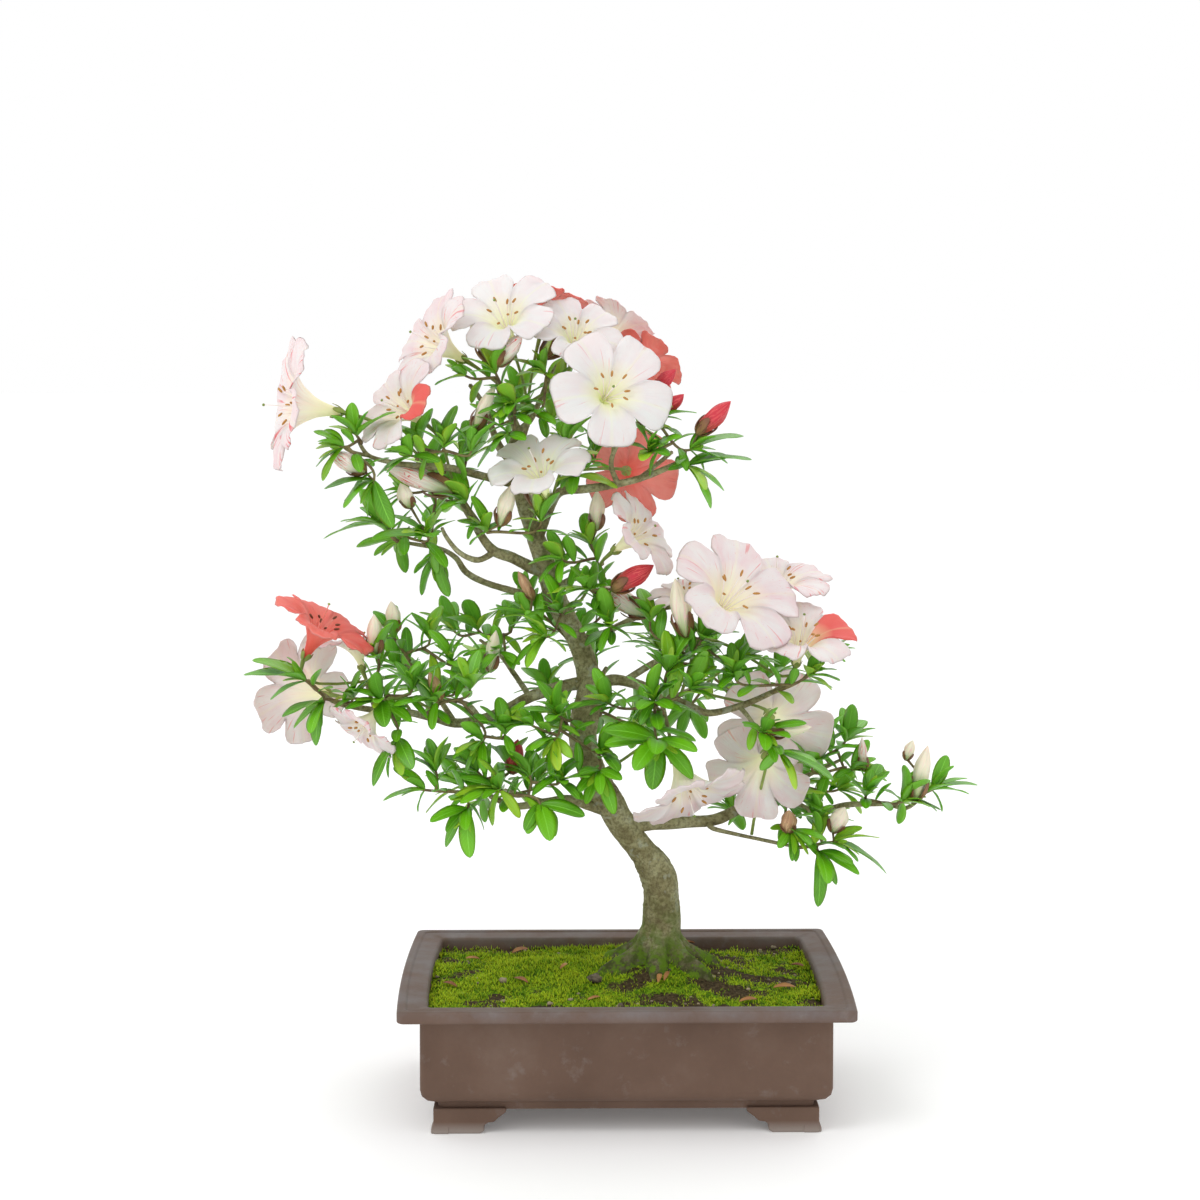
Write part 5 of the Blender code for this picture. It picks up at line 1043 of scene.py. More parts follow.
def petals(piece, name, spec, push):
    """The five lobed funnel: an outer and an inner skin that meet at the lobe edges."""
    grown = bloom_frame(spec, push)
    rows, count = PETAL_ROWS, 5 * LOBE_POINTS
    verts, marks = [], []
    for skin in (0, 1):
        for row in range(rows - skin):
            u = (row + 1) / rows
            for k in range(count):
                lobe, part = divmod(k, LOBE_POINTS)
                c = 2.0 * part / LOBE_POINTS - 1.0
                verts.append(petal_point(spec, grown, u, lobe, c, k, skin))
                marks.append((u, 0.5 + 0.5 * c, red_share(name, lobe), (lobe + 0.5) / 5.0))
    start = rows * count
    faces = ring_faces(rows, count)
    faces += [tuple(start + i for i in reversed(face)) for face in ring_faces(rows - 1, count)]
    outer, inner = start - count, start + (rows - 2) * count
    for k in range(count):
        n = (k + 1) % count
        faces.append((outer + k, outer + n, inner + n, inner + k))
    faces.append(tuple(range(count - 1, -1, -1)))
    faces.append(tuple(range(start, start + count)))
    piece.add(verts, faces, marks)


def grow_stamens(piece, spec, push, red):
    """Curved filaments with their anthers, and the longer style."""
    base, axis, side, other, s = bloom_frame(spec, push)
    for k in range(STAMENS):
        turn = spec[7] + 90.0 * k + (STYLE_TURN if k < 4 else 74)
        foot, end, way = stamen_line(base, axis, side, other, s, turn, k)
        if k > 3:
            end = end - axis * (3.0 + 3.0 * draw(spec[0], k)) * s
        bend = (foot + end) / 2 - way * 1.6 * s
        path = [foot * (1 - t) ** 2 + bend * (2 * t * (1 - t)) + end * t * t
                for t in (0.0, 0.2, 0.4, 0.6, 0.8, 1.0)]
        fat = [0.42, 0.36, 0.32, 0.3, 0.28, 0.26] if k else [0.55, 0.48, 0.42, 0.4, 0.38, 0.36]
        piece.add(*tube(path, fat, 6), even(float(red), 0.5, 0.5), 1)
        ahead = (path[-1] - path[-2]).normalized()
        long, fat = (1.9, 0.72) if k else (0.7, 0.85)
        lie = (ahead + way * 0.9).normalized() if k else ahead
        spots = [end + lie * (long * s * t) for t in (-0.9, -0.6, 0.0, 0.6, 0.9)]
        girths = [fat * part for part in (0.3, 0.85, 1.0, 0.85, 0.3)]
        piece.add(*tube(spots, girths, 8), even(float(red), 0.5, draw(k, 3)), 2 if k else 3)


def dress_bloom(name, spec, wood, paints):
    """One open flower with its stalk and calyx."""
    for push in BLOOM_PUSHES:
        base, axis, side, other, s = bloom_frame(spec, push)
        if found(stamen_line(base, axis, side, other, s, spec[7] + STYLE_TURN, 0)[1]):
            break
    for root in roots_for(base - axis * 3.0, wood, 12):
        start, leave = stem_start(root, base, 1.0)
        if (base - start).dot(axis) >= 1.0 and found(start):
            break
    piece = Piece("flower_" + name)
    reach = (base - start).length * 0.38
    handles = (start, start + leave * reach, base - axis * reach, base)
    path = [bezier(handles, t / 8) for t in range(9)] + [base + axis * 2.0]
    piece.add(*tube(path, [1.0, 0.95, 0.9, 0.88, 0.86, 0.86, 0.9, 1.05, 1.4, 1.75], 8), even(0.3, 0.5), 3)
    for k in range(5):
        way = spoke(side, other, math.radians(72.0 * k + spec[7] + 36))
        tip = base + axis * (6.5 * s) + way * (3.6 * s)
        grow_leaf(piece, base + way * 0.9, tip, way, 0.9, 3.4, 0.7, 3, 0.0)
    petals(piece, name, spec, push)
    grow_stamens(piece, spec, push, spec[8] == "red")
    piece.make(paints, ["bloom_" + name])


# Trunk, roots and branches.
def bark_rough(point, ahead, r):
    """Height of the bark's bumps and fissures, less on thin wood."""
    low = noise.noise(point * 0.07 + Vector((7.0, 0.0, 0.0)))
    stretched = point - ahead * point.dot(ahead) * BARK_STRETCH
    fine = noise.noise(stretched * 0.38)
    grain = noise.noise(stretched * 1.1)
    size = min(1.0, r / 10.0)
    return size * (1.1 * low + 0.55 * fine + 0.28 * grain)


def root_profile(z, reach):
    """Distance of a surface root's back from the trunk's middle at a height."""
    for (z1, a), (z2, b) in zip(ROOT_PROFILE, ROOT_PROFILE[1:]):
        if z >= z2:
            part = a + (b - a) * (z1 - z) / (z1 - z2)
            return FLARE_TOP_RADIUS + part * (reach - FLARE_TOP_RADIUS)
    return reach


def root_reach(bearing):
    """How far the roots reach along a bearing, in degrees."""
    rays = []
    for i, (mid, reach) in enumerate(ROOTS):
        follow = ROOTS[(i + 1) % len(ROOTS)][0]
        shoulder = ROOT_GAP_REACH + (reach - ROOT_GAP_REACH) * 0.55
        rays.append((mid - ROOT_HALF_ANGLE, shoulder))
        rays.append((mid, reach))
        rays.append((mid + ROOT_HALF_ANGLE, shoulder))
        rays.append((mid + ((follow - mid) % 360) / 2, ROOT_GAP_REACH))
    rays = sorted((b % 360, r) for b, r in rays)
    rays = [(rays[-1][0] - 360, rays[-1][1])] + rays + [(rays[0][0] + 360, rays[0][1])]
    for (a, r1), (b, r2) in zip(rays, rays[1:]):
        if a <= bearing <= b:
            return r1 + (r2 - r1) * eased((bearing - a) / (b - a))
    return ROOT_GAP_REACH


def soil_top(x, y):
    """Height of the moss: a mound at the trunk, a hill on the left, lower at the walls."""
    near = math.hypot(x - TRUNK_FOOT.x, y - TRUNK_FOOT.y)
    hill = math.hypot((x + 46 - TRUNK_FOOT.x + 20) / 34, (y - TRUNK_FOOT.y - 8) / 26)
    left = math.hypot((x + 96) / 22, (y - 26) / 26)
    right = math.hypot((x - 74) / 30, (y + 20) / 26)
    height = 69.0 + 18.5 * math.exp(-(near / 34) ** 1.5) + 6.0 * math.exp(-hill * hill)
    return height + 2.5 * math.exp(-left * left) + 2.0 * math.exp(-right * right)


def moss_height(x, y):
    """The soil's top with its moss cushions."""
    p = Vector((x, y, 0.0))
    cushions = noise.noise(p * 0.11) * 1.1 + noise.noise(p * 0.27 + Vector((3.0, 1.0, 0.0))) * 0.8
    return soil_top(x, y) + cushions + noise.noise(p * 0.8) * 0.35


def moss_cover(x, y):
    """Share of moss at a place, from bare soil to full."""
    patch = 0.62 + 0.9 * noise.noise(Vector((x * 0.035, y * 0.05, 4.0)))
    patch += 0.35 * noise.noise(Vector((x * 0.12, y * 0.12, 9.0)))
    hill = math.hypot((x - TRUNK_FOOT.x + 66) / 46, (y - TRUNK_FOOT.y + 4) / 40)
    patch += 0.5 * math.exp(-hill * hill)
    patch -= 0.28 * math.exp(-((x - TRUNK_FOOT.x - 30) / 30) ** 2)
    return max(0.0, min(1.0, patch))


def dress_trunk(paints):
    """The trunk, its root flare and every branch, with rough bark."""
    piece = Piece("wood")
    foot = Vector((TRUNK_FOOT.x, TRUNK_FOOT.y, 0.0))
    top = FLARE_TOP_Z + 4.0
    rings = []
    for i in range(FLARE_RINGS + 1):
        z = FLARE_FOOT_Z + i * (top - FLARE_FOOT_Z) / FLARE_RINGS
        ring = []
        for k in range(FLARE_SIDES):
            bearing = 360.0 * k / FLARE_SIDES
            r = root_profile(min(z, FLARE_TOP_Z), root_reach(bearing))
            if z > FLARE_TOP_Z - 8:
                r -= 1.6 * (z - FLARE_TOP_Z + 8) / 12
            way = Vector((math.cos(math.radians(bearing)), math.sin(math.radians(bearing)), 0.0))
            at = foot + Vector((0.0, 0.0, z)) + way * r
            ring.append(at + way * (1.3 * noise.noise(at * 0.14) + 0.5 * noise.noise(at * 0.5)))
        rings.append(ring)
    ends = (foot + Vector((0.0, 0.0, z)) for z in (FLARE_FOOT_Z, top))
    piece.add(*loops(rings, *ends), even())
    path = [foot + Vector((0.0, 0.0, 76.0))] + [seen(*p[:3]) for p in TRUNK[1:]]
    path, fat = smooth_path(path, [p[3] for p in TRUNK], 1.6)
    piece.add(*tube(path, fat, 40, bark_rough), even())
    for i, points in enumerate(BRANCHES.values()):
        path, fat = smooth_path([seen(*p[:3]) for p in points], [p[3] for p in points], 2.0)
        sides = 18 if points[1][3] > 3.2 else 12
        piece.add(*tube(path, fat, sides, bark_rough), even(draw(i, 5)))
    piece.make(paints, ["trunk"])


# Pot and soil.
def pot_ring(inset, z):
    """One level of the pot: rounded corners, short sides bowed outward."""
    hx, hy = RIM_HALF_X - inset, RIM_HALF_Y - inset
    ring = []
    for sx, sy, turn in ((1, -1, -90), (1, 1, 0), (-1, 1, 90), (-1, -1, 180)):
        for k in range(9):
            a = math.radians(turn + 90 * k / 8)
            x = sx * (hx - POT_CORNER) + POT_CORNER * math.cos(a)
            y = sy * (hy - POT_CORNER) + POT_CORNER * math.sin(a)
            ring.append(Vector((x, y, z)))
        if sx == -sy:
            for k in range(1, 24):
                part = -1 + 2 * k / 24
                y = part * sx * (hy - POT_CORNER)
                ring.append(Vector((sx * (hx + POT_BOW * (1 - part * part)), y, z)))
        else:
            for k in range(1, 24):
                x = sx * (hx - POT_CORNER) * (1 - 2 * k / 24)
                ring.append(Vector((x, sy * hy, z)))
    return [v - Vector((SHIFT.x, SHIFT.y, 0.0)) for v in ring]


def dress_pot(paints):
    """The pot with rounded lip, groove, plinth and four pairs of bracket feet."""
    piece = Piece("planter")
    inside = ((73.6, 16.9), (60.0, POT_INNER_INSET), (POT_FLOOR_Z + 3.0, POT_INNER_INSET),
              (POT_FLOOR_Z, POT_INNER_INSET + 3.0))
    rings = [pot_ring(inset, z) for z, inset in POT_OUTSIDE + inside]
    piece.add(*loops(rings, None, None), even())
    soften(piece.make(paints, ["pot"], SHARP_DEGREES), 0.45)
    feet = Piece("planter_feet")
    for sx in (-1, 1):
        for sy in (-1, 1):
            front = [[Vector((sx * (FOOT_OUTER_X - u), sy * (FOOT_OUTER_Y - d), w)) - SHIFT
                      for u, w in FOOT_OUTLINE] for d in (0.0, FOOT_THICK)]
            side = [[Vector((sx * (FOOT_OUTER_X - 0.2 - d),
                             sy * (FOOT_OUTER_Y - 0.2 - u * FOOT_SIDE_SCALE), w * 0.999)) - SHIFT
                     for u, w in FOOT_OUTLINE] for d in (0.0, FOOT_THICK)]
            feet.add(*loops(front, None, None), even())
            feet.add(*loops(side, None, None), even())
    soften(feet.make(paints, ["pot"], SHARP_DEGREES), 0.7)


def soften(thing, width):
    """Round off the sharp edges of a made piece."""
    bevel = thing.modifiers.new("soften", "BEVEL")
    bevel.width = width * MM
    bevel.segments = 2
    bevel.limit_method = "ANGLE"
    bevel.angle_limit = math.radians(SHARP_DEGREES)
    bevel.harden_normals = False


def inner_wall(x, y):
    """A place moved inside the pot's inner wall."""
    hx, hy = RIM_HALF_X - POT_INNER_INSET - 0.5, RIM_HALF_Y - POT_INNER_INSET - 0.5
    bow = POT_BOW * (1 - (y / hy) ** 2)
    return max(-hx - bow, min(hx + bow, x)), max(-hy, min(hy, y))


def dress_soil(paints):
    """The mossy mound, blades of moss, fallen leaves and small stones."""
    dice = random.Random(7)
    bed_paint, blade, dry_leaf, grit = paints
    moss_bed([bed_paint])
    moss_blades([blade], dice)
    litter = Piece("fallen_leaves")
    for k, (px, py, long) in enumerate(FALLEN):
        at = on_soil(px, py)
        turn = 6.28 * draw(k, 21)
        tip = at + Vector((math.cos(turn), math.sin(turn), 0.08)) * long
        tip.z = moss_height(tip.x, tip.y) + 2.4
        up = Vector((0.1, -0.25, 1.0)).normalized()
        grow_leaf(litter, at + Vector((0, 0, 2.0)), tip, up, long * 0.16, long * 0.32, draw(k, 22), 0, 0.3)
    litter.make([dry_leaf], ["soil"])
    stones = Piece("grit")
    for k in range(STONES):
        x, y = inner_wall(dice.uniform(-BED_X, BED_X) * 0.97, dice.uniform(-BED_Y, BED_Y) * 0.97)
        x -= SHIFT.x
        if moss_cover(x, y) > 0.75 and k > 12:
            continue
        size = 0.7 + 1.1 * dice.random() ** 2
        grow_stone(stones, Vector((x, y, moss_height(x, y) + size * 0.3)), size, k)
    for px, py, sunk, size, key in LARGE_STONES:
        grow_stone(stones, on_soil(px, py) + Vector((0, 0, sunk)), size, key)
    stones.make([grit], ["soil"])


def moss_bed(paints):
    """The mound as one closed sheet with a flat underside."""
    piece = Piece("moss_bed")
    top, low = [], []
    for j in range(BED_ROWS + 1):
        for i in range(BED_COLUMNS + 1):
            x, y = inner_wall(-BED_X + 2 * BED_X * i / BED_COLUMNS, -BED_Y + 2 * BED_Y * j / BED_ROWS)
            edge = max(0.0, min(BED_X - 3.0 - abs(x), BED_Y - abs(y)))
            x -= SHIFT.x
            top.append(Vector((x, y, moss_height(x, y) - 1.6 * math.exp(-edge / 2.5))))
            low.append(Vector((x, y, BED_LOW_Z)))
    width, count = BED_COLUMNS + 1, len(top)
    faces = []
    for j in range(BED_ROWS):
        for a in range(j * width, j * width + BED_COLUMNS):
            faces.append((a, a + 1, a + width + 1, a + width))
            faces.append((count + a, count + a + width, count + a + width + 1, count + a + 1))
    border = list(range(width)) + [j * width + BED_COLUMNS for j in range(1, BED_ROWS + 1)]
    border += [BED_ROWS * width + i for i in range(BED_COLUMNS - 1, -1, -1)]
    border += [j * width for j in range(BED_ROWS - 1, 0, -1)]
    for a, b in zip(border, border[1:] + border[:1]):
        faces.append((a, count + a, count + b, b))
    piece.add(top + low, faces, [even(along=moss_cover(v.x, v.y)) for v in top + low])
    piece.make(paints, ["soil"])


def moss_blades(paints, dice):
    """Blades of moss, thickest where the cover is full."""
    piece = Piece("moss_blades")
    grown = 0
    while grown < MOSS_BLADES:
        x, y = inner_wall(dice.uniform(-BED_X, BED_X), dice.uniform(-BED_Y, BED_Y))
        x -= SHIFT.x
        cover = moss_cover(x, y)
        if dice.random() > cover ** 1.5:
            continue
        tall = (1.2 + 2.4 * dice.random()) * (0.6 + 0.7 * cover)
        lean = Vector((dice.uniform(-0.7, 0.7), dice.uniform(-0.7, 0.7), 1.0)).normalized()
        foot = Vector((x, y, moss_height(x, y) - 0.5))
        turn = dice.uniform(0, 2.1)
        girth = 0.34 + 0.3 * dice.random()
        verts = [foot + Vector((math.cos(turn + a), math.sin(turn + a), 0.0)) * girth
                 for a in (0.0, 2.1, 4.2)]
        verts.append(foot + lean * tall)
        tone = dice.random()
        marks = [even(tone)] * 3 + [even(tone, 1.0)]
        piece.add(verts, [(0, 2, 1), (0, 1, 3), (1, 2, 3), (2, 0, 3)], marks)
        grown += 1
    piece.make(paints, ["soil"])


def on_soil(px, py):
    """The place on the moss that the picture shows at a pixel."""
    low, high = -75.0, 75.0
    for _ in range(30):
        mid = (low + high) / 2
        p = seen(px, py, mid)
        if p.z > moss_height(p.x, p.y):
            low = mid
        else:
            high = mid
    return seen(px, py, (low + high) / 2)


def grow_stone(piece, at, size, key):
    """A small angular stone."""
    rings = []
    for i in range(1, 5):
        ring = []
        for k in range(8):
            a, b = 2 * math.pi * k / 8, math.pi * i / 5
            way = Vector((math.cos(a) * math.sin(b), math.sin(a) * math.sin(b), 0.62 * math.cos(b)))
            ring.append(at + way * size * (0.8 + 0.5 * draw(key, k, i)))
        rings.append(ring)
    cap = Vector((0, 0, size * 0.6))
    piece.add(*loops(rings, at + cap, at - cap), even(draw(key, 77)))


# Materials.
class Paint:
    """A Principled material and short calls for the nodes that feed it."""

    def __init__(self, name, rough, **even):
        self.made = bpy.data.materials.new(name)
        self.made.use_nodes = True
        self.tree = self.made.node_tree
        self.shader = self.tree.nodes["Principled BSDF"]
        self.shader.inputs["Roughness"].default_value = rough
        for key, value in even.items():
            self.shader.inputs[key.replace("_", " ")].default_value = value

    def node(self, kind, **values):
        made = self.tree.nodes.new(kind)
        for key, value in values.items():
            setattr(made, key, value)
        return made

    def link(self, out, into):
        self.tree.links.new(out, into)

    def feed(self, socket, value):
        """Set a socket to a number or a colour, or link an output to it."""
        if isinstance(value, (int, float)):
            socket.default_value = value
        elif isinstance(value, tuple):
            socket.default_value = (*value, 1.0)
        elif value is not None:
            self.link(value, socket)

    def fed(self, made, *values):
        """A node's output after its first sockets are fed."""
        for socket, value in zip(made.inputs, values):
            self.feed(socket, value)
        return made.outputs[0]

    def math(self, way, a, b=None, clamp=False):
        """A Math node's output; a and b are outputs or numbers."""
        return self.fed(self.node("ShaderNodeMath", operation=way, use_clamp=clamp), a, b)

    def plus(self, a, b, clamp=False):
        return self.math("ADD", a, b, clamp)

    def minus(self, a, b, clamp=False):
        return self.math("SUBTRACT", a, b, clamp)

    def times(self, a, b, clamp=False):
        return self.math("MULTIPLY", a, b, clamp)

    def marks(self):
        """The four numbers of the vertex mark."""
        mark = self.node("ShaderNodeAttribute", attribute_name="mark")
        parts = self.node("ShaderNodeSeparateColor")
        self.link(mark.outputs["Color"], parts.inputs[0])
        return parts.outputs[0], parts.outputs[1], parts.outputs[2], mark.outputs["Alpha"]

    def place(self):
        """Object coordinates in metres."""
        return self.node("ShaderNodeTexCoord").outputs["Object"]

    def place_and_height(self):
        """Object coordinates, and the height alone."""
        at = self.place()
        parts = self.node("ShaderNodeSeparateXYZ")
        self.link(at, parts.inputs[0])
        return at, parts.outputs[2]

    def streaks(self, across, wide, along, long, turned, scale=1.0, detail=1.0):
        """Noise on the scale of a petal or a bud, finer across than along."""
        where = self.fed(self.node("ShaderNodeCombineXYZ"), self.times(across, wide),
                         self.times(along, long), turned)
        return self.noise(where, scale, detail)

    def noise(self, where, scale, detail=3.0, rough=0.55):
        made = self.node("ShaderNodeTexNoise")
        made.inputs["Scale"].default_value = scale
        made.inputs["Detail"].default_value = detail
        made.inputs["Roughness"].default_value = rough
        self.link(where, made.inputs["Vector"])
        return made.outputs[0]

    def ramp(self, value, *stops):
        made = self.node("ShaderNodeValToRGB")
        band = made.color_ramp
        while len(band.elements) < len(stops):
            band.elements.new(0.5)
        for element, (at, colour) in zip(band.elements, stops):
            element.position = at
            element.color = (*colour, 1.0)
        self.link(value, made.inputs[0])
        return made.outputs[0]

    def rise(self, value, low, high, top=1.0):
        """From black at one value to a grey at a higher one."""
        return self.ramp(value, (low, BLACK), (high, (top,) * 3))

    def fall(self, value, low, high, top=1.0):
        """From a grey at one value to black at a higher one."""
        return self.ramp(value, (low, (top,) * 3), (high, BLACK))

    def mix(self, share, a, b):
        made = self.node("ShaderNodeMix", data_type="RGBA")
        for socket, value in zip((0, 6, 7), (share, a, b)):
            self.feed(made.inputs[socket], value)
        return made.outputs[2]

    def tint(self, base, share, strength, colour):
        """A colour laid over another by a share that is weakened first."""
        return self.mix(self.times(share, strength), base, colour)

    def finish(self, colour, height=None, strength=0.3, distance=0.001, rough=None):
        self.link(colour, self.shader.inputs["Base Color"])
        if rough is not None:
            self.link(rough, self.shader.inputs["Roughness"])
        if height is not None:
            bump = self.node("ShaderNodeBump")
            bump.inputs["Strength"].default_value = strength
            bump.inputs["Distance"].default_value = distance
            self.link(height, bump.inputs["Height"])
            self.link(bump.outputs[0], self.shader.inputs["Normal"])
        return self.made


def clay_paint():
    """Brown unglazed clay with chalky marks, paler at the foot, and a painted grey sheen on the rim."""
    p = Paint("brown_clay", 0.62, Specular_IOR_Level=0.2)
    at, z = p.place_and_height()
    broad = p.noise(at, 22.0, 4.0)
    fine = p.noise(at, 420.0, 3.0)
    base = p.ramp(broad, (0.3, (0.118, 0.068, 0.046)), (0.55, (0.150, 0.090, 0.063)),
                  (0.75, (0.180, 0.118, 0.088)))
    base = p.tint(base, fine, 0.35, (0.10, 0.07, 0.055))
    # Painted sheen: the top of the rim is greyed, in patches, where it would reflect the light.
    rim = p.times(p.minus(z, 0.0685), 160.0, True)
    sheen_patches = p.rise(p.noise(at, 34.0, 5.0, 0.65), 0.40, 0.68)
    grey = p.times(rim, p.plus(p.times(sheen_patches, 0.45), 0.12), True)
    base = p.mix(grey, base, (0.200, 0.195, 0.205))
    lime = p.rise(p.noise(at, 60.0, 6.0, 0.7), 0.58, 0.80)
    base = p.tint(base, lime, 0.26, (0.34, 0.32, 0.31))
    low = p.times(p.minus(0.007, z), 180.0, True)
    base = p.tint(base, low, 0.45, (0.42, 0.39, 0.36))
    rough = p.ramp(broad, (0.2, (0.5,) * 3), (0.8, (0.72,) * 3))
    height = p.plus(p.times(fine, 0.5), p.times(broad, 0.5))
    return p.finish(base, height, 0.35, 0.0006, rough)


def bark_paint():
    """Grey-green bark with lichen, darker and mossy toward the roots."""
    p = Paint("lichen_bark", 0.85, Specular_IOR_Level=0.2)
    at, z = p.place_and_height()
    broad = p.noise(at, 70.0, 5.0, 0.65)
    fine = p.noise(at, 520.0, 4.0, 0.6)
    base = p.ramp(broad, (0.28, (0.130, 0.105, 0.048)), (0.42, (0.260, 0.235, 0.115)),
                  (0.56, (0.380, 0.365, 0.200)), (0.74, (0.52, 0.51, 0.36)))
    base = p.mix(p.fall(fine, 0.38, 0.56, 0.55), base, (0.075, 0.058, 0.026))
    lichen = p.rise(p.noise(at, 160.0, 3.0, 0.5), 0.60, 0.66)
    base = p.tint(base, lichen, 0.45, (0.40, 0.43, 0.34))
    moss = p.times(p.minus(0.125, z), 26.0, True)
    patch = p.rise(p.noise(at, 110.0, 4.0), 0.42, 0.58)
    base = p.mix(p.times(moss, p.times(patch, 0.9)), base, (0.085, 0.150, 0.010))
    low = p.times(p.minus(0.100, z), 60.0, True)
    base = p.tint(base, low, 0.7, (0.030, 0.024, 0.010))
    tufts = p.rise(p.noise(at, 150.0, 5.0, 0.7), 0.47, 0.55)
    base = p.mix(p.times(low, p.times(tufts, 0.9)), base, (0.11, 0.21, 0.008))
    height = p.plus(fine, p.times(broad, 0.8))
    return p.finish(base, height, 0.6, 0.0012)


def twig_paint():
    """Green-brown young twigs."""
    p = Paint("young_twig", 0.7)
    at = p.place()
    base = p.ramp(p.noise(at, 180.0, 4.0), (0.35, (0.12, 0.075, 0.035)), (0.62, (0.24, 0.20, 0.075)))
    return p.finish(base, p.noise(at, 700.0, 2.0), 0.4, 0.0005)


def scale_paint():
    """Brown and green bud scales."""
    p = Paint("bud_scale", 0.6)
    along, _, tone, _ = p.marks()
    base = p.ramp(p.plus(along, p.times(tone, 0.5)),
                  (0.1, (0.20, 0.17, 0.045)), (0.6, (0.30, 0.16, 0.06)), (1.0, (0.20, 0.08, 0.04)))
    return p.finish(base, p.noise(p.place(), 900.0, 2.0), 0.3, 0.0004)


def leaf_paint(name, dark, light, young, gloss):
    """Glossy leaf: pale midrib, faint side veins, a paler underside, young leaves yellower."""
    p = Paint(name, gloss, Subsurface_Weight=0.12, Subsurface_Scale=0.002)
    p.shader.inputs["Subsurface Radius"].default_value = (0.5, 1.0, 0.2)
    along, across, tone, upper = p.marks()
    base = p.ramp(tone, (0.0, dark), (0.55, light), (0.80, light), (0.95, young))
    patch = p.noise(p.place(), 90.0, 3.0)
    base = p.mix(p.rise(patch, 0.35, 0.7, 0.45), base, light)
    off = p.math("ABSOLUTE", p.minus(across, 0.5))
    rib = p.fall(off, 0.0, 0.045, 0.8)
    slant = p.minus(p.times(along, 11.0), p.times(off, 5.0))
    vein = p.fall(p.math("ABSOLUTE", p.minus(p.math("FRACT", slant), 0.5)), 0.0, 0.12, 0.5)
    pale = tuple(min(1.0, c * 1.35 + 0.05) for c in light)
    base = p.mix(rib, base, pale)
    base = p.tint(base, vein, 0.5, pale)
    under = p.minus(1.0, upper, True)
    base = p.tint(base, under, 0.55, tuple(c * 0.9 + 0.06 for c in light))
    height = p.minus(patch, p.plus(p.times(rib, 0.6), p.times(vein, 0.4)))
    return p.finish(base, height, 0.35, 0.0006)


def petal_paint(name, seed, body, blush, stripe, density, throat, fleck):
    """Petal: soft body colour, blush toward the edge, thin stripes and flecks, a lit throat."""
    p = Paint(name, 0.55, Subsurface_Weight=0.35, Subsurface_Scale=0.006, Specular_IOR_Level=0.3)
    p.shader.inputs["Subsurface Radius"].default_value = (1.0, 0.7, 0.6)
    along, across, red, lobe = p.marks()
    turned = p.plus(p.times(lobe, 40.0), seed * 7.3)
    soft = p.streaks(across, 2.2, along, 1.6, turned, 1.3, 3.0)
    base = p.mix(p.rise(soft, 0.38, 0.68), body, blush)
    base = p.mix(p.rise(along, 0.80, 1.0, 0.45), base, blush)
    veins = p.streaks(across, 34.0, along, 1.2, turned, 1.0, 2.0)
    base = p.mix(p.rise(veins, 0.52, 0.66, 0.20), base, blush)
    lines = p.streaks(across, 17.0, along, 1.5, turned, 1.0, 2.5)
    where = p.streaks(across, 2.4, along, 2.0, p.plus(turned, 9.0))
    lines = p.rise(lines, 0.630 - 0.06 * density, 0.660 - 0.06 * density)
    lines = p.times(lines, p.rise(where, 0.50 - 0.10 * density, 0.58))
    outer = p.rise(along, 0.38, 0.60)
    base = p.mix(p.times(p.times(lines, outer), min(1.0, 0.45 + density * 0.6)), base, stripe)
    dots = p.streaks(across, 46.0, along, 26.0, turned)
    dots = p.times(p.rise(dots, 0.70, 0.74), outer)
    base = p.tint(base, dots, fleck, stripe)
    coral = p.rise(p.plus(red, p.times(p.minus(lines, 0.5), 0.3)), 0.42, 0.55)
    base = p.mix(coral, base, CORAL)
    deep = p.fall(along, 0.20, 0.64)
    base = p.tint(base, deep, 0.85, throat)
    # The light that comes through the thin wall of the tube.
    p.shader.inputs["Emission Color"].default_value = (*throat, 1.0)
    p.link(p.times(deep, THROAT_GLOW), p.shader.inputs["Emission Strength"])
    rib = p.fall(p.math("ABSOLUTE", p.minus(across, 0.5)), 0.0, 0.05, 0.5)
    base = p.tint(base, rib, 0.35, throat)
    height = p.plus(p.times(veins, 0.8), p.times(soft, 0.5))
    return p.finish(base, height, 0.32, 0.0008)


def bud_colours(name, foot, body, streak, share):
    """A furled bud: pale green foot, body colour, streaks along the folds, and painted shade in the
    furrows between them.
    """
    p = Paint(name, 0.5, Subsurface_Weight=0.15, Subsurface_Scale=0.002)
    along, fold, tone, _ = p.marks()
    grain = p.streaks(fold, 7.0, along, 2.0, p.times(tone, 50.0), 1.0, 3.0)
    base = p.ramp(along, (0.10, foot), (0.5, body), (1.0, tuple(c * 0.97 for c in body)))
    base = p.mix(p.rise(grain, 0.60 - share * 0.25, 0.70 - share * 0.2), base, streak)
    # Painted shade: the furrows between the folds take a darker copy of the body colour.
    base = p.mix(p.fall(fold, 0.0, 0.22, 0.42), base, tuple(c * 0.62 for c in body))
    return p.finish(base, grain, 0.25, 0.0006)


def plain_grain(name, rough, dark, light, scale, glow=0.0):
    """A part whose colour runs between two by a fine noise and its own tone."""
    p = Paint(name, rough, Subsurface_Weight=glow, Subsurface_Scale=0.002)
    tone = p.marks()[2]
    grain = p.noise(p.place(), scale, 3.0)
    base = p.mix(p.rise(p.plus(p.times(grain, 0.6), p.times(tone, 0.4)), 0.25, 0.75), dark, light)
    return p.finish(base, grain, 0.3, 0.0005)


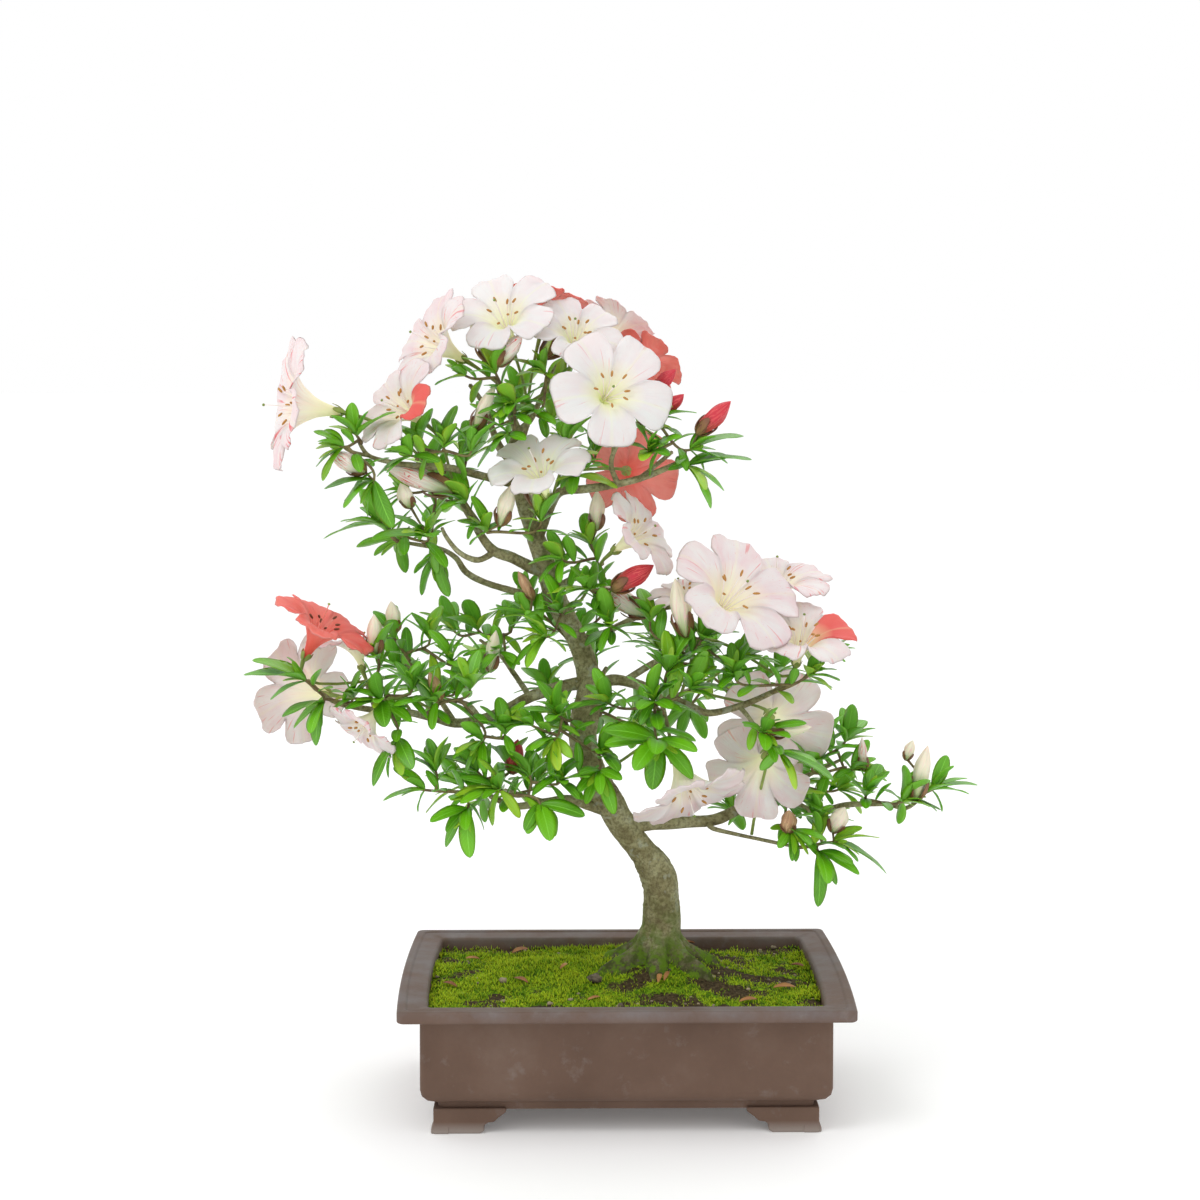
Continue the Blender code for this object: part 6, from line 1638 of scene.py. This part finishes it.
def soil_paint():
    """Dark crumbly soil where it is bare, moss where it is covered."""
    p = Paint("moss_and_soil", 0.95, Specular_IOR_Level=0.15)
    cover = p.marks()[0]
    at = p.place()
    crumbs = p.noise(at, 480.0, 4.0, 0.7)
    clumps = p.noise(at, 90.0, 4.0, 0.6)
    bare = p.ramp(crumbs, (0.3, (0.018, 0.013, 0.006)), (0.55, (0.075, 0.052, 0.024)),
                  (0.75, (0.17, 0.13, 0.07)))
    moss = p.ramp(clumps, (0.30, (0.045, 0.100, 0.003)), (0.50, (0.160, 0.33, 0.006)),
                  (0.68, (0.36, 0.54, 0.015)))
    moss = p.mix(p.fall(crumbs, 0.35, 0.6, 0.7), moss, (0.018, 0.035, 0.003))
    share = p.plus(cover, p.times(p.minus(crumbs, 0.5), 0.9))
    base = p.mix(p.rise(share, 0.42, 0.56), bare, moss)
    height = p.plus(crumbs, clumps)
    return p.finish(base, height, 0.9, 0.002)


def blade_paint():
    """Moss blades, darker at the foot and bright yellow-green at the tip."""
    p = Paint("moss_blade", 0.8, Subsurface_Weight=0.1, Subsurface_Scale=0.001, Specular_IOR_Level=0.2)
    along, _, tone, _ = p.marks()
    patch = p.noise(p.place(), 45.0, 3.0)
    bright = p.rise(p.plus(p.times(patch, 0.7), p.times(tone, 0.3)), 0.30, 0.60)
    tip = p.mix(bright, (0.15, 0.36, 0.004), (0.55, 0.74, 0.02))
    base = p.mix(p.rise(along, 0.0, 0.8), (0.03, 0.055, 0.004), tip)
    return p.finish(base)


# Studio.
def studio():
    """The camera of the picture, a white floor under a white world, and soft light."""
    scene = bpy.context.scene
    eye = bpy.data.cameras.new("camera")
    eye.sensor_width = SENSOR_MM
    eye.lens = CAM_FOCAL / FRAME_PIXELS * SENSOR_MM
    eye.clip_end = 50.0
    camera = bpy.data.objects.new("camera", eye)
    camera.location = (CAM_AT - SHIFT) * MM
    camera.rotation_euler = (math.pi / 2 - CAM_PITCH, 0.0, CAM_YAW)
    scene.collection.objects.link(camera)
    scene.camera = camera
    world = bpy.data.worlds.new("studio")
    world.use_nodes = True
    sky = world.node_tree.nodes["Background"]
    sky.inputs["Color"].default_value = (1.0, 1.0, 1.0, 1.0)
    sky.inputs["Strength"].default_value = WORLD_LIGHT
    scene.world = world
    scene.view_settings.view_transform = "Standard"
    mesh = bpy.data.meshes.new("floor")
    corners = [(x * FLOOR_HALF, y * FLOOR_HALF, 0) for x, y in ((-1, -1), (1, -1), (1, 1), (-1, 1))]
    mesh.from_pydata(corners, [], [(0, 1, 2, 3)])
    floor = bpy.data.objects.new("floor", mesh)
    p = Paint("white_floor", 0.9)
    grain = p.noise(p.place(), 3.0, 2.0)
    p.shader.inputs["Emission Color"].default_value = (1.0, 1.0, 1.0, 1.0)
    p.shader.inputs["Emission Strength"].default_value = FLOOR_GLOW
    mesh.materials.append(p.finish(p.ramp(grain, (0.0, (0.93, 0.93, 0.93)), (1.0, (0.95, 0.95, 0.95)))))
    scene.collection.objects.link(floor)
    for name, at, size, power in LAMPS:
        lamp = bpy.data.lights.new(name, "AREA")
        lamp.shape = "RECTANGLE"
        lamp.size, lamp.size_y = size
        lamp.energy = power
        thing = bpy.data.objects.new(name, lamp)
        thing.location = at
        aim = Vector((0.0, 0.0, LAMP_AIM_Z)) - Vector(at)
        thing.rotation_euler = aim.to_track_quat("-Z", "Y").to_euler()
        scene.collection.objects.link(thing)


def main():
    """Dress every node of the frame, then light it."""
    green = (0.42, 0.55, 0.22)
    spray_paints = [
        leaf_paint("leaf", (0.060, 0.22, 0.002), (0.150, 0.46, 0.004), (0.42, 0.64, 0.03), 0.36),
        twig_paint(), scale_paint(),
        bud_colours("bud_pale", green, (0.86, 0.80, 0.62), (0.88, 0.66, 0.60), 0.25),
        bud_colours("bud_red", (0.30, 0.10, 0.05), (0.58, 0.022, 0.045), (0.75, 0.10, 0.10), 0.4),
        bud_colours("bud_striped", green, (0.90, 0.82, 0.76), (0.76, 0.08, 0.08), 0.3),
        bud_colours("bud_brown", (0.22, 0.16, 0.05), (0.42, 0.23, 0.12), (0.60, 0.40, 0.22), 0.5),
    ]
    wood = skeleton()
    solids = solid_tree([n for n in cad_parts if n.startswith("bloom") or n in ("pot", "soil")])
    dress_pot([clay_paint()])
    dress_soil([soil_paint(), blade_paint(),
                plain_grain("dry_leaf", 0.75, (0.20, 0.07, 0.02), (0.50, 0.24, 0.08), 200.0),
                plain_grain("grit", 0.9, (0.06, 0.045, 0.03), (0.42, 0.34, 0.22), 300.0)])
    dress_trunk([bark_paint()])
    calyx = plain_grain("calyx", 0.6, (0.16, 0.24, 0.04), (0.34, 0.42, 0.10), 260.0, 0.1)
    pale_parts = [
        plain_grain("filament", 0.5, (0.88, 0.80, 0.76), (0.92, 0.88, 0.84), 300.0, 0.1),
        plain_grain("anther", 0.7, (0.42, 0.19, 0.04), (0.72, 0.42, 0.10), 900.0), calyx]
    red_parts = [
        plain_grain("red_filament", 0.5, (0.80, 0.16, 0.13), (0.88, 0.30, 0.24), 300.0, 0.1),
        plain_grain("red_anther", 0.7, (0.07, 0.02, 0.012), (0.16, 0.05, 0.02), 900.0), calyx]
    for i, (name, spec) in enumerate(BLOOMS.items()):
        body, blush, stripe, density, throat, fleck = PETALS[spec[8]]
        density, fleck = PETAL_STRIPES.get(name, (density, fleck))
        petal = petal_paint("petal_" + name, i, body, blush, stripe, density, throat, fleck)
        dress_bloom(name, spec, wood, [petal] + (red_parts if spec[8] == "red" else pale_parts))
    buds = nearest_shoots()
    for order, name in enumerate(SPRAYS):
        dress_spray(name, order, wood, buds, solids, spray_paints)
    studio()


main()
